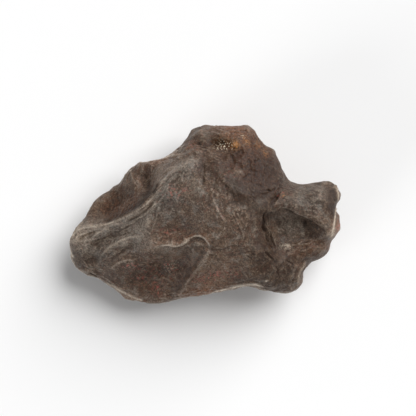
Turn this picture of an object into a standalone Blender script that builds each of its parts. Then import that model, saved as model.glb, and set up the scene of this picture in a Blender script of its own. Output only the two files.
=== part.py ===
"""Iron meteorite: one solid lump of nickel-iron, thumb-printed and weathered, lying on its flatter side.

Run with: blender --background --python part.py

Frame: metres, +Z up. The origin is on the ground under the middle of the stone. +X runs from the tapered end
to the blunt arm, and +Y runs towards the knob. The stone is a ball whose points are moved in four steps:
it is stretched to the rim line, laid on an upper and a lower surface, hollowed by thumb-prints, and roughened.
"""

import math
from typing import NamedTuple

import bmesh
import bpy
import numpy as np
from mathutils import Vector, noise

# Driving dimensions, in metres.
LENGTH = 0.1630
WIDTH = 0.1070
HEIGHT = 0.0600

# Everything below is laid out in millimetres in plan, and fit_to_size() then sets the three dimensions above.
BALL_SUBDIVISIONS = 7
SOLID_TRIANGLES = 8000
EVEN_MESH = 0.9  # distance between points of the even mesh
GROUND_CUT = 1.2  # how much is worn off the underside to make the face that the stone rests on
SMOOTHING = 0.6  # how freely the surface may pass beside a spot height, in mm squared

# The rim is the outline seen from above: x, y, the height of the edge, and how tall the steep wall is there.
RIM_CENTRE = (6.0, -12.0)
RIM = [
    (-81.3, -21.5, 19, 20),
    (-82.4, -16.0, 19, 20),
    (-80.2, -10.2, 20, 18),
    (-77.2, -5.8, 20, 15),
    (-72.0, -0.2, 19, 12),
    (-66.6, 7.6, 18, 10),
    (-60.0, 14.8, 19, 10),
    (-53.4, 20.4, 20, 10),
    (-47.8, 26.4, 22, 10),
    (-41.2, 31.8, 25, 11),
    (-34.5, 31.8, 29, 11),
    (-27.6, 32.6, 31, 12),
    (-20.4, 36.2, 30, 14),
    (-14.6, 41.4, 28, 15),
    (-9.8, 47.8, 26, 16),
    (-5.4, 51.6, 25, 16),
    (3.0, 53.2, 25, 17),
    (15.0, 53.4, 25, 17),
    (25.2, 52.6, 25, 16),
    (29.6, 50.4, 26, 16),
    (32.8, 45.2, 28, 17),
    (36.2, 41.0, 29, 18),
    (40.6, 38.2, 29, 18),
    (43.8, 33.0, 28, 18),
    (47.6, 26.4, 27, 19),
    (51.0, 20.8, 26, 19),
    (58.4, 18.6, 25, 18),
    (65.6, 19.7, 24, 17),
    (72.6, 20.4, 24, 17),
    (77.4, 18.8, 23, 18),
    (80.8, 14.4, 22, 20),
    (81.4, 9.6, 21, 22),
    (79.4, 4.4, 19, 24),
    (81.4, 0.2, 17, 22),
    (82.4, -6.8, 17, 22),
    (80.0, -12.6, 18, 20),
    (77.0, -16.0, 20, 16),
    (74.8, -20.8, 21, 13),
    (69.9, -25.4, 22, 12),
    (63.4, -28.8, 22, 13),
    (60.0, -33.4, 21, 16),
    (59.2, -40.0, 19, 19),
    (55.0, -45.0, 19, 19),
    (49.4, -46.2, 21, 18),
    (38.6, -45.0, 24, 16),
    (27.6, -42.4, 27, 16),
    (19.4, -43.2, 26, 16),
    (8.6, -45.6, 24, 16),
    (-3.4, -48.0, 22, 15),
    (-15.4, -49.9, 20, 14),
    (-24.4, -52.2, 18, 14),
    (-32.6, -53.4, 17, 14),
    (-38.6, -52.0, 17, 12),
    (-47.8, -50.2, 17, 11),
    (-53.2, -45.8, 17, 11),
    (-60.2, -41.6, 17, 12),
    (-68.2, -37.4, 17, 17),
    (-75.2, -33.2, 17, 19),
    (-79.4, -27.6, 18, 20),
]

# The upper surface, as spot heights along its crests and its valleys: x, y, height.
CRESTS = {
    "spine": [
        (-72, -5.5, 28.5), (-63, -7.5, 33), (-52.5, -4.2, 38.5), (-45.3, -0.6, 43), (-39.3, 3, 46.5),
        (-33.3, 7.8, 49.5), (-27.3, 13.8, 52), (-24.5, 19, 52.5), (-20, 25.5, 52), (-13, 30.5, 51), (-4.5, 33.5, 50.5),
    ],
    "lower_spine": [(-26, 11, 52), (-29.7, 3, 50), (-33.3, -4.2, 47.5), (-39.3, -11.4, 43.5), (-49, -16, 39), (-60, -22, 33.5)],
    "shoulder_rib": [(-43, 26, 31), (-42, 20, 34.5), (-40.5, 14, 38)],
    "bowl_rim": [(-56, -36.5, 27), (-52.5, -32, 30.5), (-43, -27.5, 35.5), (-34, -23, 40.5)],
    "lip": [(-29.7, -20, 44), (-20, -18.5, 47), (-13, -17.4, 48.5), (-8, -13.8, 50.5), (-3.3, -13.8, 51.5), (2, -18.6, 50)],
    "front_ridge": [(0, -24.5, 46.5), (-4, -31, 42.5), (-9, -39, 36.5), (-15, -47.5, 29.5)],
    "crown": [
        (4, 12, 58), (-6, 5, 56.5), (14, 0, 57.5), (-12, 14, 55.5), (-18, 5, 53), (10, 25, 54.5), (20, 14, 56.5),
        (8, -8, 56), (21, -8, 55), (-4, -3, 54.5), (28, 4, 54), (-14, 21, 54.5), (18, 24, 54.5),
    ],
    "knob": [(-2, 48, 42), (12, 48, 44.5), (22, 48, 44.5), (26, 42, 45.5), (18, 37, 48), (7, 36, 49)],
    "hollow_edge": [(32, -2, 52.5), (31.5, -10, 51.5), (34, -18, 49.5), (38, -26, 45.5), (41, 3.5, 48.5)],
    "arm_edge": [(52, 2, 46), (59, -2.8, 44.5), (65, -5.5, 43.5), (70.5, -8.5, 41.5), (75, -12, 38)],
    "arm": [(48, 14, 44), (56, 13, 43.5), (66, 14.5, 42.5), (74, 13, 40.5), (62, 5, 45), (71, 2, 43.5), (76, 4, 40.5)],
    "sill": [(48.5, -21, 36.5), (56, -20, 36), (63, -19.5, 35.5), (69, -19.5, 34)],
    "corner": [(38, -33, 42.5), (45, -38, 37.5), (53, -35, 34.5), (27, -37, 41)],
}
VALLEYS = {
    "outer_shoulder": [(-64, 3, 23.5), (-57, 8, 25.5), (-50, 13.5, 27.5), (-46, 8, 32.5), (-57, 1, 30)],
    "inner_shoulder": [(-36, 22, 34), (-33, 17, 38.5), (-32, 27, 36.5), (-26, 29.5, 41)],
    "flute": [(-62, -14, 31), (-53, -11, 35.5), (-45, -7, 39.5), (-38, -1.5, 44)],
    "lower_flute": [(-66, -27, 28), (-56, -26, 31), (-47, -21, 35), (-39, -17.5, 39.5)],
    "tapered_end": [(-76, -12, 28.5), (-74, -20, 29.5), (-72, -28, 28), (-64, -34, 26)],
    "brow": [(-26, -10, 46), (-16, -10, 47.5), (-7, -8.5, 50)],
    "bowl": [
        (-28, -27.5, 36), (-20, -25, 39), (-10, -23, 42.5), (-42, -37, 28), (-32, -37, 29.5), (-21, -35, 32.5),
        (-12, -32, 37), (-45, -45, 24), (-31, -47, 24), (-20, -45, 26.5),
    ],
    "front_facet": [(10, -20, 50), (9, -29, 44), (21, -27, 47), (5, -39, 36.5), (17, -37, 39)],
    "crown_groove": [(-2, 28, 51.5), (-1.5, 23, 54)],
    "under_knob": [(-5, 41, 43), (3, 42.5, 43), (11, 42, 44.5)],
    "right_flank": [(30, 30, 47), (35, 20, 47.5), (38, 30, 41), (44, 22, 40.5), (35, 12, 50.5), (42, 10, 47)],
    "arm_bowl": [
        (40, -4, 41.5), (40.5, -12, 38), (44, -17, 36), (46, -3.5, 38.5), (54, -5.5, 36.5), (61, -9.5, 34.5),
        (67, -13.5, 33.5), (50, -12, 34), (57, -15.5, 33.5),
    ],
    "arm_foot": [(66, -25, 29), (60, -27, 30.5)],
}
UPPER_SPOTS = [spot for line in [*CRESTS.values(), *VALLEYS.values()] for spot in line]

# Spot heights on the underside. What lies under the ground cut becomes the resting face.
RESTING = [(2, -4, 0.0), (-24, -12, 0.4), (-8, 16, 0.8), (24, 8, 0.6), (34, -16, 0.6), (6, -24, 0.8)]
BELLY = [(-46, -8, 5), (-64, -18, 6.5), (-34, 18, 8), (-44, -34, 8), (12, 38, 9), (-14, -38, 7), (30, -34, 7)]
BELLY_END = [(56, 4, 6), (70, 2, 8), (58, -24, 8)]
LOWER_SPOTS = RESTING + BELLY + BELLY_END


class Dent(NamedTuple):
    """A round thumb-print pressed into a side or the underside: centre, radius, and depth at the middle."""

    x: float
    y: float
    z: float
    radius: float
    depth: float


SIDE_DENTS = [
    Dent(-78, -16, 5, 15, 3.0),
    Dent(-50, 22, 9, 17, 3.5),
    Dent(-18, 40, 11, 16, 3.0),
    Dent(14, 56, 9, 18, 3.5),
    Dent(44, 32, 10, 17, 3.5),
    Dent(66, 22, 9, 15, 3.0),
    Dent(84, -2, 5, 16, 3.0),
    Dent(66, -34, 7, 16, 3.0),
    Dent(34, -48, 9, 18, 4.0),
    Dent(2, -52, 7, 17, 3.5),
    Dent(-34, -54, 5, 16, 3.0),
    Dent(-64, -36, 6, 16, 3.0),
    Dent(-40, 4, 4, 17, 3.0),
    Dent(38, 18, 3, 16, 2.6),
    Dent(46, -24, 3, 15, 2.6),
    Dent(-20, -32, 3, 16, 2.6),
]

# Natural unevenness, as (distance between bumps, height of a bump), coarse to fine.
UNDULATIONS = [(26.0, 0.9), (11.0, 0.5), (5.5, 0.25)]


def closed_curve(points, steps=12):
    """Points along a smooth closed curve (Catmull-Rom) through the given points."""
    p = np.array(points, float)
    before, after, beyond = np.roll(p, 1, 0), np.roll(p, -1, 0), np.roll(p, -2, 0)
    runs = []
    for t in np.arange(steps) / steps:
        runs.append(
            0.5 * (2 * p + (after - before) * t)
            + 0.5 * (2 * before - 5 * p + 4 * after - beyond) * t**2
            + 0.5 * (3 * p - before - 3 * after + beyond) * t**3
        )
    return np.stack(runs, 1).reshape(-1, p.shape[1])


def smooth_surface(spots):
    """A function of x, y that passes smoothly through the spots: a thin-plate spline."""
    spots = np.array(spots, float)
    places, heights = spots[:, :2], spots[:, 2]
    count = len(spots)

    def bending(distance):
        return distance**2 * np.log(np.maximum(distance, 1e-9))

    def plane(xy):
        return np.c_[np.ones(len(xy)), xy]

    gaps = np.linalg.norm(places[:, None] - places[None], axis=2)
    system = np.zeros((count + 3, count + 3))
    system[:count, :count] = bending(gaps) + np.eye(count) * SMOOTHING
    system[:count, count:] = plane(places)
    system[count:, :count] = plane(places).T
    weights = np.linalg.solve(system, np.r_[heights, np.zeros(3)])

    def height(xy):
        distance = np.linalg.norm(xy[:, None] - places[None], axis=2)
        return bending(distance) @ weights[:count] + plane(xy) @ weights[count:]

    return height


def ball():
    """A fine ball as a mesh, and its points on a unit sphere."""
    mesh = bpy.data.meshes.new("meteorite")
    shape = bmesh.new()
    bmesh.ops.create_icosphere(shape, subdivisions=BALL_SUBDIVISIONS, radius=1.0)
    shape.to_mesh(mesh)
    shape.free()
    points = np.empty(len(mesh.vertices) * 3)
    mesh.vertices.foreach_get("co", points)
    return mesh, points.reshape(-1, 3)


def stretched(unit):
    """The ball's points laid on the rim, the upper surface and the underside, in millimetres."""
    rim = closed_curve(RIM)
    reach = rim[:, :2] - RIM_CENTRE
    bearing = np.arctan2(reach[:, 1], reach[:, 0])
    order = np.argsort(bearing)
    bearing, radius, level, wall = (
        column[order] for column in (bearing, np.linalg.norm(reach, axis=1), rim[:, 2], rim[:, 3])
    )
    angle = np.arctan2(unit[:, 1], unit[:, 0])
    radius = np.interp(angle, bearing, radius, period=2 * math.pi)
    level = np.interp(angle, bearing, level, period=2 * math.pi)
    latitude = np.arcsin(np.clip(unit[:, 2], -1, 1))
    out = np.cos(latitude) ** 0.45
    xy = np.c_[np.cos(angle), np.sin(angle)] * (radius * out)[:, None] + RIM_CENTRE

    top_edge = [(x, y, z + wall / 2) for x, y, z, wall in RIM]
    low_edge = [(x, y, z - wall / 2) for x, y, z, wall in RIM]
    upper = smooth_surface(UPPER_SPOTS + top_edge)(xy)
    lower = smooth_surface(LOWER_SPOTS + low_edge)(xy)
    rounding = np.sqrt(1 - np.minimum(out, 1) ** 14)
    surface = np.where(unit[:, 2] > 0, upper, lower)
    return np.c_[xy, level + (surface - level) * rounding]


def dented(points, normals):
    """The points with each side dent pressed in against the surface."""
    for dent in SIDE_DENTS:
        distance = np.linalg.norm(points - np.array(dent[:3]), axis=1) / dent.radius
        depth = dent.depth * np.maximum(0, 1 - distance**2)
        points = points - normals * depth[:, None]
    return points


def roughened(points, normals):
    """The points moved in and out by gentle natural unevenness."""
    for spacing, amount in UNDULATIONS:
        lift = [amount * noise.noise(Vector(p) / spacing) for p in points]
        points = points + normals * np.array(lift)[:, None]
    return points


def set_points(mesh, points):
    """Moves the mesh to these points and returns its normals there."""
    mesh.vertices.foreach_set("co", np.asarray(points, np.float32).ravel())
    mesh.update()
    normals = np.empty(len(mesh.vertices) * 3, np.float32)
    mesh.vertex_normals.foreach_get("vector", normals)
    return normals.reshape(-1, 3).astype(float)


def wear_flat(mesh, height):
    """Slices off what lies under the given height and closes the cut with one flat face."""
    shape = bmesh.new()
    shape.from_mesh(mesh)
    everything = shape.verts[:] + shape.edges[:] + shape.faces[:]
    bmesh.ops.bisect_plane(
        shape, geom=everything, dist=1e-6, plane_co=(0, 0, height), plane_no=(0, 0, -1), clear_outer=True
    )
    open_edges = [edge for edge in shape.edges if edge.is_boundary]
    bmesh.ops.holes_fill(shape, edges=open_edges, sides=0)
    bmesh.ops.recalc_face_normals(shape, faces=shape.faces[:])
    shape.to_mesh(mesh)
    shape.free()


def fit_to_size(mesh):
    """Scales the stone to its driving dimensions, with the origin on the ground under its middle."""
    points = np.empty(len(mesh.vertices) * 3)
    mesh.vertices.foreach_get("co", points)
    points = points.reshape(-1, 3)
    low, high = points.min(0), points.max(0)
    ground_middle = np.array([(low[0] + high[0]) / 2, (low[1] + high[1]) / 2, low[2]])
    set_points(mesh, (points - ground_middle) * (np.array([LENGTH, WIDTH, HEIGHT]) / (high - low)))


def evened_and_thinned(mesh):
    """The same stone with an even mesh, its crests a little worn, and then thinned where it is flat."""
    stone = bpy.data.objects.new("meteorite_fine", mesh)
    bpy.context.scene.collection.objects.link(stone)
    remesh = stone.modifiers.new("even", "REMESH")
    remesh.mode = "VOXEL"
    remesh.voxel_size = EVEN_MESH
    wear = stone.modifiers.new("wear", "SMOOTH")
    wear.factor = 0.5
    wear.iterations = 1
    even = evaluated_mesh(stone)
    stone.modifiers.clear()
    stone.data = even
    thin = stone.modifiers.new("thin", "DECIMATE")
    thin.ratio = SOLID_TRIANGLES / (2 * len(even.polygons))
    result = evaluated_mesh(stone)
    bpy.data.objects.remove(stone)
    return result


def evaluated_mesh(obj):
    """A new mesh of the object with its modifiers."""
    bpy.context.view_layer.update()
    graph = bpy.context.evaluated_depsgraph_get()
    return bpy.data.meshes.new_from_object(obj.evaluated_get(graph))


def patina():
    """Dark brown weathered iron: a dull oxide skin over metal."""
    material = bpy.data.materials.new("brown_patina")
    material.use_nodes = True
    shader = material.node_tree.nodes["Principled BSDF"]
    shader.inputs["Base Color"].default_value = (0.085, 0.062, 0.049, 1)
    shader.inputs["Roughness"].default_value = 0.6
    shader.inputs["Metallic"].default_value = 0.15
    return material


def build():
    for old in list(bpy.data.objects):
        bpy.data.objects.remove(old)
    mesh, unit = ball()
    points = stretched(unit)
    points = dented(points, set_points(mesh, points))
    points = roughened(points, set_points(mesh, points))
    set_points(mesh, points)
    mesh = evened_and_thinned(mesh)
    wear_flat(mesh, GROUND_CUT)
    fit_to_size(mesh)
    mesh.name = "meteorite"
    mesh.shade_smooth()
    mesh.materials.append(patina())
    collection = bpy.data.collections.new("meteorite")
    bpy.context.scene.collection.children.link(collection)
    collection.objects.link(bpy.data.objects.new("meteorite", mesh))


build()
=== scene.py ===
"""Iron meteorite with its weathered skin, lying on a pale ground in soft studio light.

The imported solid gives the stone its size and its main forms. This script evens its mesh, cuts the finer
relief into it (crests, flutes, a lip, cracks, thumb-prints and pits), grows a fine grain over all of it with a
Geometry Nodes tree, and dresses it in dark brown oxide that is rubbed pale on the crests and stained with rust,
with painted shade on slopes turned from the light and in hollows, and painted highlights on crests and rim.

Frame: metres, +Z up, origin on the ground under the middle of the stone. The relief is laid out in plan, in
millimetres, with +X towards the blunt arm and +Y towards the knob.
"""

import logging
import math
from dataclasses import asdict, dataclass, field
from enum import Enum

import bmesh
import bpy
import numpy as np
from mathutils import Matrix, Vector


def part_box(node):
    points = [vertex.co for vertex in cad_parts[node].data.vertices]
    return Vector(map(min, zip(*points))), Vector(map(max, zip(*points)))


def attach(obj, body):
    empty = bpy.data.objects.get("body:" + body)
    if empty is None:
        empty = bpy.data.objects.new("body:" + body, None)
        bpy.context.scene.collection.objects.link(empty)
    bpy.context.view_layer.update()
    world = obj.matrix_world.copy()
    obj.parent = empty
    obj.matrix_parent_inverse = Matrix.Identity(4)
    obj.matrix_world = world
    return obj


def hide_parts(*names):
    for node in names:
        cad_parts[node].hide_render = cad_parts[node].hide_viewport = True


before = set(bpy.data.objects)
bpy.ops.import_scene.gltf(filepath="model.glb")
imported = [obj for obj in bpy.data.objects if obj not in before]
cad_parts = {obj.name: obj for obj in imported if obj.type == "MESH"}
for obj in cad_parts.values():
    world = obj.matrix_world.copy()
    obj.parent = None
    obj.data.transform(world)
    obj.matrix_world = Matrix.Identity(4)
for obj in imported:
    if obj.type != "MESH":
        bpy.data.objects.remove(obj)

MM = 0.001
NODE = "meteorite"

log = logging.getLogger("meteorite")

Plan = tuple[float, float]
Span = tuple[float, float]
Colour = tuple[float, float, float]


def smooth_step(value: np.ndarray, low: float, high: float) -> np.ndarray:
    """A soft ramp from 0 at low to 1 at high.

    Args:
        value: The numbers to ramp.
        low: Where the ramp starts.
        high: Where the ramp ends.

    Returns:
        Numbers from 0 to 1.
    """
    t = np.clip((value - low) / (high - low), 0.0, 1.0)
    return t * t * (3.0 - 2.0 * t)


def soft_bump(distance: np.ndarray, steepness: float = 1.5) -> np.ndarray:
    """A bell curve: 1 at distance 0, and nearly 0 from distance 2 on."""
    return np.exp(-steepness * distance**2)


def open_curve(points: list[Plan], steps: int = 6) -> np.ndarray:
    """A smooth open curve (Catmull-Rom) through points in plan.

    Args:
        points: Two or more points, in millimetres.
        steps: How many pieces each stretch is divided into.

    Returns:
        The curve's points, one row each.
    """
    p = np.array(points, float)
    ends = np.vstack([2 * p[0] - p[1], p, 2 * p[-1] - p[-2]])
    before, start, end, after = ends[:-3], ends[1:-2], ends[2:-1], ends[3:]
    rows = []
    for t in np.arange(steps) / steps:
        rows.append(
            0.5 * (2 * start + (end - before) * t)
            + 0.5 * (2 * before - 5 * start + 4 * end - after) * t**2
            + 0.5 * (3 * start - before - 3 * end + after) * t**3
        )
    return np.vstack([np.stack(rows, 1).reshape(-1, 2), p[-1:]])


def nearest_on_line(plan: np.ndarray, line: np.ndarray) -> tuple[np.ndarray, np.ndarray]:
    """How far each place is from a line, and how far along the line its nearest point lies.

    Args:
        plan: Places, in millimetres.
        line: The line's points, in millimetres.

    Returns:
        The distance, above 0 on the left of the line's direction, and the share of the line from 0 to 1.
    """
    best = np.full(len(plan), np.inf)
    side = np.ones(len(plan))
    share = np.zeros(len(plan))
    runs = np.linalg.norm(np.diff(line, axis=0), axis=1)
    reached = np.concatenate([[0.0], np.cumsum(runs)])
    for index, (start, end) in enumerate(zip(line[:-1], line[1:])):
        step = end - start
        offset = plan - start
        t = np.clip(offset @ step / max(step @ step, 1e-9), 0.0, 1.0)
        gap = np.linalg.norm(offset - t[:, None] * step, axis=1)
        closer = gap < best
        turn = step[0] * offset[:, 1] - step[1] * offset[:, 0]
        best = np.where(closer, gap, best)
        side = np.where(closer, np.where(turn >= 0, 1.0, -1.0), side)
        share = np.where(closer, (reached[index] + t * runs[index]) / reached[-1], share)
    return best * side, share


def ends_fade(share: np.ndarray, fade: float) -> np.ndarray:
    """A ramp up from a line's start and down to its end, over `fade` of its length at each end."""
    return smooth_step(share, 0.0, fade) * smooth_step(1.0 - share, 0.0, fade)


def oval_distance(oval: "Thumbprint | Stain | Wear", plan: np.ndarray) -> np.ndarray:
    """How far each place is from an oval's middle, as a share of the oval's own size.

    Args:
        oval: Anything with a middle, a half length, a half breadth and a turn in degrees.
        plan: Places, in millimetres.

    Returns:
        0 in the middle and 1 on the rim.
    """
    turn = math.radians(oval.turn)
    east, north = plan[:, 0] - oval.x, plan[:, 1] - oval.y
    along = (east * math.cos(turn) + north * math.sin(turn)) / oval.half_length
    across = (north * math.cos(turn) - east * math.sin(turn)) / oval.half_breadth
    return np.hypot(along, across)


@dataclass(frozen=True)
class Ridge:
    """A crest along a line. It rises to a sharp top and runs out at both ends, and is a groove below 0."""

    points: list[Plan]
    height: float
    left: float = 3.0
    right: float = 3.0
    fade: float = 0.15

    def lift(self, plan: np.ndarray) -> np.ndarray:
        """The crest's rise.

        Args:
            plan: Places, in millimetres.

        Returns:
            The rise at each place, in millimetres.
        """
        distance, share = nearest_on_line(plan, open_curve(self.points))
        reach = np.where(distance > 0, self.left, self.right)
        profile = np.maximum(0.0, 1.0 - np.abs(distance) / reach) ** 2
        return self.height * profile * ends_fade(share, self.fade)

    def reach(self) -> float:
        """The widest the crest gets on one side."""
        return max(self.left, self.right)


@dataclass(frozen=True)
class Scarp:
    """A step along a line: raised to a lip on its left and sunk on its right."""

    points: list[Plan]
    raised: float
    sunk: float
    left: float
    right: float
    edge: float
    fade: float

    def lift(self, plan: np.ndarray) -> np.ndarray:
        """The step's rise.

        Args:
            plan: Places, in millimetres.

        Returns:
            The rise at each place, in millimetres.
        """
        distance, share = nearest_on_line(plan, open_curve(self.points))
        above = self.raised * np.maximum(0.0, 1.0 - np.abs(distance) / self.left) ** 2
        below = -self.sunk * np.maximum(0.0, 1.0 - np.abs(distance) / self.right) ** 2
        over = smooth_step(distance, -self.edge, self.edge)
        return (below + (above - below) * over) * ends_fade(share, self.fade)

    def reach(self) -> float:
        """The widest the step gets on one side."""
        return max(self.left, self.right)


@dataclass(frozen=True)
class Thumbprint:
    """An oval dent in plan. A negative depth is a swelling."""

    x: float
    y: float
    half_length: float
    half_breadth: float
    turn: float
    depth: float

    def lift(self, plan: np.ndarray) -> np.ndarray:
        """The rise at each place in plan, in millimetres."""
        return -self.depth * np.maximum(0.0, 1.0 - oval_distance(self, plan) ** 2) ** 1.5

    def reach(self) -> float:
        """The widest the dent gets on one side."""
        return max(self.half_length, self.half_breadth)


@dataclass(frozen=True)
class StrandDraw:
    """What each wrinkle of a bundle is drawn from, as shares of the bundle's own sizes."""

    latest_start: float = 0.55
    lengths: Span = (0.3, 0.6)
    waves: Span = (2.0, 5.0)
    sway: float = 0.25
    heights: Span = (0.5, 1.2)
    signs: tuple[float, ...] = (1.0, 1.0, -0.9)
    widths: Span = (0.8, 1.5)
    most_points: int = 9
    fade: float = 0.3
    reach: float = 1.3


STRAND = StrandDraw()


@dataclass(frozen=True)
class Braid:
    """A bundle of thin wrinkles that run along a line, each wandering a little, with clefts between them."""

    points: list[Plan]
    spread: float
    count: int
    height: float
    width: float
    seed: int

    def strands(self) -> list[Ridge]:
        """Draws the wrinkles.

        Returns:
            Each wrinkle, as a ridge or a groove of its own.
        """
        line = open_curve(self.points)
        last = len(line) - 1
        tangent = np.gradient(line, axis=0)
        tangent /= np.linalg.norm(tangent, axis=1)[:, None]
        across = np.stack([-tangent[:, 1], tangent[:, 0]], 1)
        draw = np.random.default_rng(self.seed)
        made = []
        for _ in range(self.count):
            start = draw.uniform(0.0, STRAND.latest_start)
            end = min(1.0, start + draw.uniform(*STRAND.lengths))
            place = draw.uniform(-1.0, 1.0)
            waves, phase = draw.uniform(*STRAND.waves), draw.uniform(0.0, math.tau)
            height = self.height * draw.uniform(*STRAND.heights) * draw.choice(STRAND.signs)
            rows = np.unique(np.linspace(start * last, end * last, STRAND.most_points).astype(int))
            if len(rows) < 2:
                continue
            share = rows / last
            aside = self.spread * (place + STRAND.sway * np.sin(waves * math.pi * share + phase))
            path = line[rows] + across[rows] * aside[:, None]
            width = self.width * draw.uniform(*STRAND.widths)
            made.append(Ridge([(float(x), float(y)) for x, y in path], height, width, width, STRAND.fade))
        return made

    def lift(self, plan: np.ndarray) -> np.ndarray:
        """The rise at each place in plan, in millimetres."""
        return sum((strand.lift(plan) for strand in self.strands()), np.zeros(len(plan)))

    def flow(self, plan: np.ndarray) -> np.ndarray:
        """The way that the bundle's wrinkles run.

        Args:
            plan: Places, in millimetres.

        Returns:
            The cosine and sine of twice the wrinkles' angle, shorter where the bundle is far.
        """
        line = open_curve(self.points)
        total = np.zeros((len(plan), 2))
        for start, end in zip(line[:-1], line[1:]):
            step = end - start
            angle = 2 * math.atan2(step[1], step[0])
            gap = np.linalg.norm(plan - (start + end) / 2, axis=1) / (self.spread + 2 * self.width)
            total += soft_bump(gap)[:, None] * np.array([math.cos(angle), math.sin(angle)])
        size = np.linalg.norm(total, axis=1)[:, None]
        return total / np.maximum(size, 1.0)

    def reach(self) -> float:
        """How far the bundle reaches on one side."""
        return STRAND.reach * self.spread + 2 * self.width


@dataclass(frozen=True)
class Wear:
    """An oval in plan where the stone is worn smooth before the finer relief is cut."""

    x: float
    y: float
    half_length: float
    half_breadth: float
    turn: float
    strength: float
    core: float = 0.6

    def share(self, plan: np.ndarray) -> np.ndarray:
        """How worn each place is, from 0 to its strength."""
        return self.strength * (1.0 - smooth_step(oval_distance(self, plan), self.core, 1.0))


@dataclass(frozen=True)
class Spur:
    """A place on the outline that stands out, or is bitten in where the push is negative."""

    x: float
    y: float
    z: float
    radius: float
    push: float
    flatness: float
    steepness: float = 1.2

    def move(self, points: np.ndarray, centre: np.ndarray) -> np.ndarray:
        """How far each point moves away from the stone's middle, in plan.

        Args:
            points: The stone's points, in millimetres.
            centre: The stone's middle in plan.

        Returns:
            One step for each point, level with the ground.
        """
        gap = points - np.array([self.x, self.y, self.z])
        gap[:, 2] /= self.flatness
        weight = soft_bump(np.linalg.norm(gap, axis=1) / self.radius, self.steepness)
        out = np.array([self.x, self.y]) - centre
        out /= np.linalg.norm(out)
        return np.c_[weight[:, None] * out * self.push, np.zeros(len(points))]


class Tint(Enum):
    """The ways in which a patch of skin differs from the rest."""

    # Rubbed wear, and painted highlights where crests, edges and the left tip catch the light.
    PALE = "pale"
    # Grey patina, partly a painted sheen where facets would mirror the light.
    STEEL = "steel"
    # Painted shade: darkens the colour on slopes turned from the key light, in hollows, along cracks and under
    # edges.
    DARK = "dark"
    RUST = "rust"
    OCHRE = "ochre"
    RED = "red"
    SALT = "salt"
    # Painted highlight: a pale band along the outline, standing in for the floor's light reflected at grazing
    # angles.
    RIM = "rim"
    # Bared metal on the crests, partly a painted highlight along lit crest lines and edges.
    BARE = "bare"


@dataclass(frozen=True)
class Stain:
    """A soft oval patch of a tint in plan."""

    x: float
    y: float
    half_length: float
    half_breadth: float
    turn: float = 0.0
    strength: float = 1.0

    def cover(self, plan: np.ndarray) -> np.ndarray:
        """How much of the tint lies at each place in plan, from 0 to its strength."""
        return self.strength * soft_bump(oval_distance(self, plan))


@dataclass(frozen=True)
class Streak:
    """A narrow line of a tint in plan."""

    points: list[Plan]
    half_width: float
    strength: float = 1.0
    fade: float = 0.2

    def cover(self, plan: np.ndarray) -> np.ndarray:
        """How much of the tint lies at each place in plan, from 0 to its strength."""
        distance, share = nearest_on_line(plan, open_curve(self.points))
        return self.strength * soft_bump(distance / self.half_width) * ends_fade(share, self.fade)


Stroke = Ridge | Scarp | Thumbprint | Braid
Mark = Stain | Streak

SPINE: list[Stroke] = [
    Ridge(
        [(-73, -6.6), (-65, -6.8), (-57, -5.5), (-50.5, -2.7), (-44, 0.1), (-38.5, 2.9), (-33, 6.7),
         (-29.5, 10.2), (-26.8, 13.5), (-25, 18), (-21.5, 21.8), (-18, 24.6), (-13, 27.5), (-8, 31),
         (-3, 33.5)],
        1.7, 2.2, 8.0,
    ),
    Ridge([(-62, -9), (-54, -5.5), (-47.5, -4.5), (-41, 0.5), (-37, 1.5), (-31.5, 6.5)], 0.7, 1.2, 2.0, 0.1),
    Ridge(
        [(-42, 0.4), (-36, 5.2), (-31.5, 9), (-28.5, 14.5), (-26.5, 19.5), (-22.5, 24)],
        0.6, 1.0, 1.6, 0.1,
    ),
    Ridge([(-28.5, 8), (-31.5, 2.3), (-33, -3.3), (-34.5, -9)], 1.0, 6.0, 3.0),
    Ridge([(-22, 18), (-18.5, 22), (-14.5, 22.5), (-12.5, 18)], 0.8, 2.0, 2.5),
    Ridge([(-21, 33.5), (-12, 35), (-3, 38)], 0.8, 3.0, 3.0),
    Thumbprint(-16.5, 17, 5, 4, 30, 1.1),
    Thumbprint(-22, 6, 7, 5, 50, 1.2),
    Braid([(-56, -7), (-44, -2), (-34, 4), (-26.5, 12), (-20.5, 20.5), (-10, 28.5)], 3.0, 20, 0.7, 0.8, 3),
    Ridge([(-50, -5.5), (-42, -2), (-35, 2.2), (-30.6, 6), (-27.6, 10.5)], -0.8, 1.0, 1.4, 0.2),
    Ridge([(-52, -8.5), (-43, -4.8), (-36, -0.5), (-30, 5), (-26, 11)], 0.6, 1.2, 1.6, 0.2),
    Braid([(-27, 10), (-32, 0), (-34.5, -10)], 3.5, 10, 0.4, 1.0, 4),
    Braid([(-30, 32), (-17, 35), (-7, 41)], 3.0, 12, 0.5, 1.0, 5),
    Braid([(-19, 25), (-15, 14), (-18, 2)], 6.0, 9, 0.35, 1.2, 6),
]
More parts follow.
